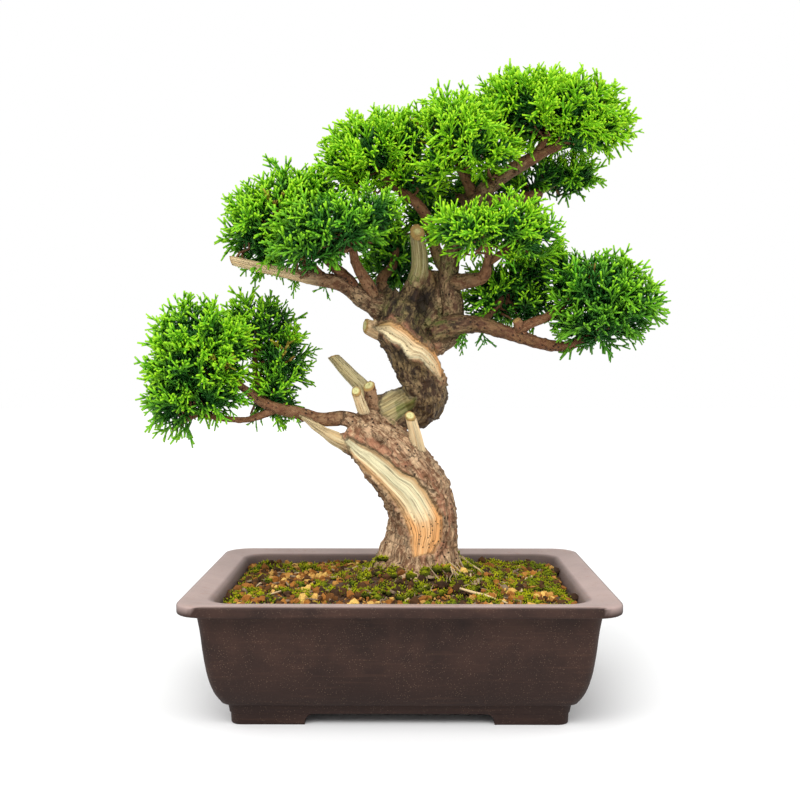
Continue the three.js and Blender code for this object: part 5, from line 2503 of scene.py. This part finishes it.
# Each clump's shade and freshness set how much painted shade or painted light its green takes; the top
# clumps get painted light.
BACK_SPRAYS = SprayKind(density=0.0031, length=1.05, shade=0.2)
TOP_SPRAYS = SprayKind(shade=-2, below=0.4, fresh_and_lit=0.5)
SPRAY_KINDS = {
    "foliage_low_left": SprayKind(shade=-0.05),
    "foliage_low_left_back": SprayKind(density=0.0027, length=1.05, shade=0.1, fresh_and_lit=0.05),
    "foliage_left_front": SprayKind(shade=0.3),
    "foliage_left_inner_back": BACK_SPRAYS,
    "foliage_upper_left": SprayKind(shade=-1.8, below=0.4, fresh_and_lit=0.45),
    "foliage_top_centre": TOP_SPRAYS,
    "foliage_top_right": TOP_SPRAYS,
    "foliage_top_right_back": BACK_SPRAYS,
    "foliage_middle_right": SprayKind(shade=-0.3, below=0.35, fresh_and_lit=0.1),
    "foliage_right_inner_back": BACK_SPRAYS,
    "foliage_right": SprayKind(shade=0.4),
}


@dataclass
class SprayMaker:
    """Feathery sprays of scale-leaf shoots, made from one modelled shoot. Sizes in millimetres."""

    thickness: float = 1.02
    joint: float = 7.6
    side: float = 6.2
    side_end: float = 6.4
    finger: float = 7.0
    end_width: float = 0.82
    joints: int = 4
    variants: int = 8
    seed: int = 51
    rng: Chance = field(init=False)
    rows: list[tuple] = field(init=False)

    @property
    def reach(self) -> float:
        """How far a usual spray reaches from its foot."""
        return self.joint * self.joints * 0.88 + self.finger * 0.8

    def made(self) -> list[Shell]:
        """The spray variants, each along its own Z axis from its foot at the origin.

        Returns:
            One shell a variant.
        """
        shoot = three_sided_shoot(self.end_width)
        self.rng = np.random.default_rng(self.seed)
        return [self._spray(shoot) for _ in range(self.variants)]

    def _spray(self, shoot: Shell) -> Shell:
        """One flat spray: a stem with forked side shoots to its left and right, and a forked end.

        Args:
            shoot: the shoot that it is made of.

        Returns:
            The spray.
        """
        rng = self.rng
        self.rows = []
        foot, along = np.zeros(3), UP
        for j in range(self.joints):
            end = self._grow(foot, along, self.joint * rng.uniform(0.85, 1.1), 0.1 * j)
            for side in (rng.integers(2),) if j < 2 else (0, 1):
                roll = side * math.pi + rng.normal(0, 0.35)
                at = foot + (end - foot) * rng.uniform(0.6, 1)
                self._side_shoot(at, self._leaned(along, roll, 0.5, 0.85), roll)
            foot = end
            along = self._leaned(along, rng.choice((0, math.pi)), 0.05, 0.28)
        for k in range(2):
            self._finger(foot, self._leaned(along, k * math.pi, 0.25, 0.55))
        at, along, length, width, tip = (np.array([row[k] for row in self.rows]) for k in range(5))
        scale = np.stack([width * self.thickness, width * self.thickness, length], 1)
        spray = shoot.placed(at, turns_towards(along, rng.uniform(0, 6.3, len(at))), scale)
        own = np.tile(np.clip(shoot.points[:, 2], 0, 1), len(at))
        spray.looks["tip"] = np.repeat(tip, len(shoot.points)) * (0.3 + 0.7 * own)
        return spray

    def _side_shoot(self, at: Array, along: Array, roll: float) -> None:
        """Adds a side shoot of two joints with short fingers at its middle and its end.

        Args:
            at: its foot.
            along: its direction.
            roll: the side that it leaves on, as an angle.
        """
        rng = self.rng
        middle = self._grow(at, along, self.side * rng.uniform(0.8, 1.15), 0.4)
        first_side = rng.integers(2)
        self._finger(middle, self._leaned(along, roll + first_side * math.pi + 0.4, 0.45, 0.8))
        along = self._leaned(along, roll + (1 - first_side) * math.pi, 0.05, 0.3)
        end = self._grow(middle, along, self.side_end * rng.uniform(0.75, 1.15), 0.7)
        for k in range(2):
            out = self._leaned(along, roll + k * math.pi + 0.4, 0.25, 0.6)
            self._finger(end - along * rng.uniform(0, 1.2), out)

    def _finger(self, at: Array, along: Array) -> None:
        """Adds one end shoot."""
        self._grow(at, along, self.finger * self.rng.uniform(0.6, 1.2), 1)

    def _leaned(self, along: Array, roll: float, least: float, most: float) -> Array:
        """A direction leaned away from another by a random angle.

        Args:
            along: the direction.
            roll: the side that it leans to.
            least: the least angle.
            most: the largest angle.

        Returns:
            The leaned direction.
        """
        lean = self.rng.uniform(least, most)
        turn = turns_towards(along[None], np.array([roll]))[0]
        return unit(turn @ np.array([math.sin(lean), 0, math.cos(lean)]))

    def _grow(self, foot: Array, along: Array, length: float, tip: float) -> Array:
        """Adds one shoot's row and returns where the next one starts."""
        self.rows.append((foot, along, length, self.rng.uniform(0.88, 1.1), tip))
        return foot + along * length * 0.93


def evenly_spread(count: int) -> Array:
    """Directions spread evenly over a ball.

    Args:
        count: how many.

    Returns:
        One direction a row.
    """
    k = np.arange(count) + 0.5
    z = 1 - 2 * k / count
    around = math.pi * (1 + math.sqrt(5)) * k
    flat = np.sqrt(1 - z * z)
    return np.stack([flat * np.cos(around), flat * np.sin(around), z], 1)


@dataclass
class Foliage:
    """All the clumps of foliage, each a small heart, dark green with painted shade, with sprays over it.

    Attributes:
        sprays: the spray variants.
        reach: how far a spray reaches from its foot, in millimetres.
        low: the lowest corner of the room that the sprays keep within.
        high: its highest corner.
        feet: where each clump's sprays start, filled in as they grow.
        outer_share: the share of the sprays that end at a lobe's skin.
        deeper: how much deeper the others end, against the lobe's radii.
        open_from: how deep in its clump a spray may end, from 0 at a lobe's middle to 1.
        inner_sprays: the sprays that grow from a lobe's middle.
        heart_share: how large a heart is against its lobe; it also lies lower and is uneven.
    """

    sprays: list[Shell]
    reach: float
    low: Array
    high: Array
    outer_share: float = 0.72
    deeper: float = 0.3
    open_from: float = 0.6
    inner_sprays: int = 7
    heart_share: float = 0.22
    heart_drop: float = 2.0
    heart_uneven: float = 5.5
    seed: int = 71
    feet: dict[str, Array] = field(default_factory=dict)

    def build(self, finishes: Finishes) -> None:
        """Grows and dresses every clump.

        Args:
            finishes: the finishes to choose from.
        """
        for k, (name, clump) in enumerate(CLUMPS.items()):
            rng = np.random.default_rng(self.seed + k)
            shell = self._clump(name, clump, rng)
            dress(shell.mesh_object(f"{name}_dressed"), finishes.leaves, Slot.FOLIAGE, name)

    def _clump(self, name: str, clump: Clump, rng: Chance) -> Shell:
        """One clump's heart and sprays.

        Args:
            name: the clump's name.
            clump: its lobes.
            rng: the seeded source of chance.

        Returns:
            The whole clump.
        """
        kind = SPRAY_KINDS.get(name, SprayKind())
        ragged = Roughness(19)
        stem = np.array(clump.heart) - UP * clump.half_height() * 0.8
        rows = []
        for lobe in clump.lobes:
            middle, radii = np.array(lobe[:3]), np.array(lobe[3:], float)
            area = 4 * math.pi * (np.mean((radii[[0, 0, 1]] * radii[[1, 2, 2]]) ** 1.6)) ** (1 / 1.6)
            count = int(area * kind.density)
            outward = evenly_spread(count)
            outward = unit(outward + rng.normal(0, 0.08, outward.shape))
            facing = unit(outward / radii)
            skin = middle + outward * radii
            growth = unit(skin - stem)
            aim = unit(facing + growth * kind.rise + rng.normal(0, 0.36, (count, 3)))
            own_size = rng.uniform(0.75, 1.2, count) * kind.length
            uneven = 4.5 * ragged.layered(skin / 15, 2) + rng.normal(-3, 1.8, count)
            skin += outward * uneven[:, None]
            deep = rng.random(count) > self.outer_share
            skin -= outward * (radii * self.deeper) * deep[:, None]
            grown = (rng.random(count) < kind.below) | (outward[:, 2] > -0.4)
            feet = skin - aim * (self.reach * own_size)[:, None]
            rows.append(np.column_stack([feet, aim, own_size, facing])[grown])
            inner = unit(rng.normal(size=(self.inner_sprays, 3)) + UP * 0.9)
            own_size = rng.uniform(0.55, 0.85, self.inner_sprays)
            rows.append(np.column_stack([middle + inner * radii * 0.15, inner, own_size, inner]))
        found = np.concatenate(rows)
        ends = found[:, :3] + found[:, 3:6] * (self.reach * found[:, 6])[:, None]
        found = found[self._unburied(name, clump, ends)]
        extra = np.array([(*row, *FRONT) for row in LOOSE_SPRAYS.get(name, ())], float)
        found = np.concatenate([found, extra.reshape(-1, 10)])
        self.feet[name] = found[:, :3]
        return Shell.joined([self._heart(clump), *self._placed(clump, found, kind, rng)])

    def _unburied(self, name: str, clump: Clump, ends: Array) -> Array:
        """Which sprays neither other lobes nor other clumps bury, and which stay in the room.

        Args:
            name: the clump's name.
            clump: its lobes.
            ends: where its sprays end.

        Returns:
            One answer a spray.
        """
        own = clump.level(ends)
        free = own > self.open_from
        for other_name, other in CLUMPS.items():
            if other_name != name:
                free &= other.level(ends) > np.minimum(own, 0.9)
        return free & np.all((ends > self.low + 1) & (ends < self.high - 1), axis=1)

    def _placed(
        self, clump: Clump, found: Array, kind: SprayKind, rng: Chance
    ) -> list[Shell]:
        """Sprays at their places, with their looks.

        Args:
            clump: the clump that they grow in.
            found: a row for each spray: its foot, its direction, its size and the way it faces.
            kind: the character of the sprays.
            rng: the source of chance.

        Returns:
            One shell for each spray variant.
        """
        feet, along, size, facing = np.split(found, (3, 6, 7), axis=1)
        count = len(found)
        variant = rng.integers(0, len(self.sprays), count)
        frame = turns_towards(along, np.zeros(count))
        level, upright = (np.einsum("nj,nj->n", facing, frame[:, :, k]) for k in (0, 1))
        roll = np.arctan2(-level, upright) + rng.normal(0, 0.8, count)
        # random tone, raised for some clumps: on the top clumps that rise is painted light
        tone = np.clip(rng.normal(0.5, 0.27, count) + kind.fresh_and_lit, 0, 1)
        ends = feet + along * self.reach * size
        old = ((rng.random(count) < 0.02) & (clump.level(ends) < 0.8)).astype(float)
        shells = []
        for k, spray in enumerate(self.sprays):
            i = variant == k
            turns, scale = turns_towards(along[i], roll[i]), np.repeat(size[i], 3, 1)
            placed = spray.placed(feet[i], turns, scale, tone=tone[i], old=old[i])
            placed.points = np.clip(placed.points, self.low + 0.4, self.high - 0.4)
            # Painted light and shade: sprays darker deeper in the clump and lower in it, scaled for each
            # clump by its shade.
            lit = step(clump.level(placed.points), 0.5, 1.1) * (1 - kind.shade)
            above = (placed.points[:, 2] - clump.heart[2]) / clump.half_height()
            placed.looks["depth"] = np.minimum(lit, 1.2) * (0.55 + 0.45 * step(above, -0.9, 0.5))
            shells.append(placed)
        return shells

    def _heart(self, clump: Clump) -> Shell:
        """The uneven inside of a clump, that its sprays stand out of, dark green with painted shade.

        Args:
            clump: the clump.

        Returns:
            Its inside.
        """
        lump, rough, shells = ball(3), Roughness(13), []
        for lobe in clump.lobes:
            radii = np.array(lobe[3:])
            points = np.array(lobe[:3]) + lump.points * radii * self.heart_share - UP * self.heart_drop
            uneven = rough.layered(points / 3, 2) * self.heart_uneven
            points += lump.points * uneven[:, None]
            shells.append(Shell(points, lump.triangles))
        heart = Shell.joined(shells)
        # painted shade: the heart takes mostly the dark shade green, mottled
        mottled = step(rough.layered(heart.points / 2.2 + 9, 2), -0.1, 0.5)
        heart.looks = {"tip": 0.5 * mottled, "depth": 0.5 * mottled, "tone": mottled}
        heart.looks["old"] = np.zeros(len(mottled))
        return heart


@dataclass
class Twigs:
    """Thin brown twigs that run from the branches to the feet of sprays. Sizes in millimetres."""

    limbs: list[Limb]
    feet: dict[str, Array]
    each: int = 36
    thick: float = 1.3
    thin: float = 0.65
    nearest: float = 4.0
    farthest: float = 48.0
    limb_below: float = 7.0
    seed: int = 91

    def build(self, finishes: Finishes) -> None:
        """Grows the twigs and dresses them.

        Args:
            finishes: the finishes to choose from.
        """
        rng = np.random.default_rng(self.seed)
        spines = [limb.spine() for limb in self.limbs]
        joints = np.concatenate([s.centre[s.radius < self.limb_below] for s in spines])
        shells = []
        for feet in self.feet.values():
            for foot in feet[rng.choice(len(feet), min(self.each, len(feet)), replace=False)]:
                away = np.linalg.norm(joints - foot, axis=1)
                start = joints[np.argmin(away + rng.uniform(0, 9, len(joints)))]
                span = np.linalg.norm(foot - start)
                if self.nearest < span < self.farthest:
                    shells.append(self._twig(start, foot, span, rng))
        twigs = Shell.joined(shells)
        twigs.looks = {"grain": twigs.points * MM}
        for look, value in (("twig", 0.9), ("age", 0.6)):
            twigs.looks[look] = np.full(len(twigs.points), value)
        dress(twigs.mesh_object("twigs"), finishes.wood, Slot.WOOD)

    def _twig(self, start: Array, foot: Array, span: float, rng: Chance) -> Shell:
        """One twig with two soft bends.

        Args:
            start: its place on the branch.
            foot: the foot of its spray.
            span: the distance between them.
            rng: the seeded source of chance.

        Returns:
            The twig.
        """
        bends = rng.normal(0, span * 0.09, (2, 3)) - UP * span * 0.05
        places = [start, start + (foot - start) * 0.35 + bends[0]]
        places += [start + (foot - start) * 0.7 + bends[1], foot]
        radii = np.linspace(self.thick * rng.uniform(0.8, 1.2), self.thin, 4)
        return thin_limb(np.array(places), radii, 6)


@dataclass
class LooseBits:
    """Bits of bark, dead roots and a stick on the soil. Sizes are in millimetres."""

    bed: SoilBed
    strings: int = 130
    trunk_strings: int = 18
    chips: int = 90
    seed: int = 41

    def build(self, finishes: Finishes) -> None:
        """Lays the bits down and dresses them.

        Args:
            finishes: the finishes to choose from.
        """
        rng = np.random.default_rng(self.seed)
        shells = [self._string(rng) for _ in range(self.strings)]
        shells += self._trunk_strings(rng)
        shells += [self._bark_chips(rng), self._stick()]
        dress(Shell.joined(shells).mesh_object("loose_bits"), finishes.litter, Slot.WOOD)

    def _laid(self, places: Array, radii: Sequence[float], tone: float, lift: float) -> Shell:
        """A thin string through places, laid on the soil.

        Args:
            places: places along it, with heights over the soil.
            radii: its radius at each.
            tone: how light it is.
            lift: how far it is lifted.

        Returns:
            The string.
        """
        places[:, 2] += self.bed.height(places[:, 0], places[:, 1]) + lift
        shell = thin_limb(places, radii, 3.5)
        shell.looks["tone"] = np.full(len(shell.points), tone)
        return shell

    def _string(self, rng: Chance) -> Shell:
        """A short bent root or strip of bark somewhere on the soil.

        Args:
            rng: the seeded source of chance.

        Returns:
            The string.
        """
        flat = self.bed.scattered(rng, 60, 12, 36)
        near = np.exp(-((self.bed.from_trunk(flat[:, 0], flat[:, 1]) / 60) ** 2)) + 0.12
        at = flat[rng.choice(len(flat), p=near / near.sum())]
        turn, length = rng.uniform(0, 2 * math.pi), rng.uniform(6, 20)
        along = np.array([math.cos(turn), math.sin(turn), 0]) * length / 3
        places = np.array([[*at, 0]] * 4) + along * np.arange(4)[:, None]
        places += rng.normal(0, 1.1, (4, 3)) * np.array([1, 1, 0.7])
        radius = rng.uniform(0.35, 1.1)
        radii = radius * np.array([0.6, 1, 0.9, 0.4])
        return self._laid(places, radii, float(rng.choice((0.2, 0.35, 0.8))), 1.6)

    def _trunk_strings(self, rng: Chance) -> list[Shell]:
        """Pale stringy roots that run down the right of the trunk's foot.

        Args:
            rng: the seeded source of chance.

        Returns:
            One shell a root.
        """
        found = []
        for _ in range(self.trunk_strings):
            turn = math.radians(rng.uniform(-80, 20))
            away = np.array([math.cos(turn), math.sin(turn), 0])
            start = np.array([self.bed.foot_x, self.bed.foot_y, 0]) + away * 34
            places = start + away * np.linspace(0, rng.uniform(8, 26), 4)[:, None]
            places += rng.normal(0, 2.4, (4, 3)) * np.array([1, 1, 0.4])
            places[:, 2] += np.array([3, 1.5, 0.6, 0]) * rng.uniform(0.3, 1.4)
            radii = rng.uniform(0.35, 0.8) * np.array([1.1, 1, 0.8, 0.4])
            found.append(self._laid(places, radii, rng.uniform(0.3, 0.9), 1.2))
        return found

    def _bark_chips(self, rng: Chance) -> Shell:
        """Flat rough chips of bark.

        Args:
            rng: the seeded source of chance.

        Returns:
            All the chips.
        """
        x, y = self.bed.scattered(rng, self.chips, 7, 36).T
        count = len(x)
        at = np.stack([x, y, self.bed.height(x, y) + 1.6], 1)
        turns = turns_towards(unit(UP + rng.normal(0, 0.35, (count, 3))), rng.uniform(0, 6.3, count))
        sizes = (2.5, 6.5), (1.6, 3.4), (0.8, 1.8)
        scale = np.stack([rng.uniform(*limits, count) for limits in sizes], 1)
        chip = ball(1, uneven=0.45, alike=0.5, seed=3)
        return chip.placed(at, turns, scale, tone=rng.uniform(0, 0.45, count))

    def _stick(self) -> Shell:
        """The pale stick in front of the trunk, a little to its right."""
        places = np.array([[47, -60, 0], [58, -64, 0.4], [66, -67.5, 0], [74, -72, 0.2]])
        return self._laid(places, (1, 1.3, 1.2, 0.8), 1, 2.6)


def main() -> None:
    """Builds every piece in order."""
    logging.basicConfig(level=logging.INFO, format="%(message)s")
    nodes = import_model()["nodes"]
    cad_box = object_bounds()
    finishes = Finishes.made()
    refinish(nodes["soil"], finishes.bare_soil)
    for side in ("left", "right"):
        refinish(nodes[f"drain_screen_{side}"], finishes.plastic)
        refinish(nodes[f"screen_clip_{side}"], finishes.wire)
    camera = PhotoCamera()
    camera.build()
    Studio().build(finishes)
    bed = SoilBed()
    Pot().build(finishes)
    wood = TreeWood(bed, camera)
    wood.build(finishes)
    low, high = (np.array(side) / MM for side in cad_box)
    maker = SprayMaker()
    foliage = Foliage(maker.made(), maker.reach, low, high)
    foliage.build(finishes)
    Twigs(wood.limbs, foliage.feet).build(finishes)
    Granules(bed).build(finishes)
    MossCover(bed).build(finishes)
    LooseBits(bed).build(finishes)


if __name__ == "__main__":
    main()
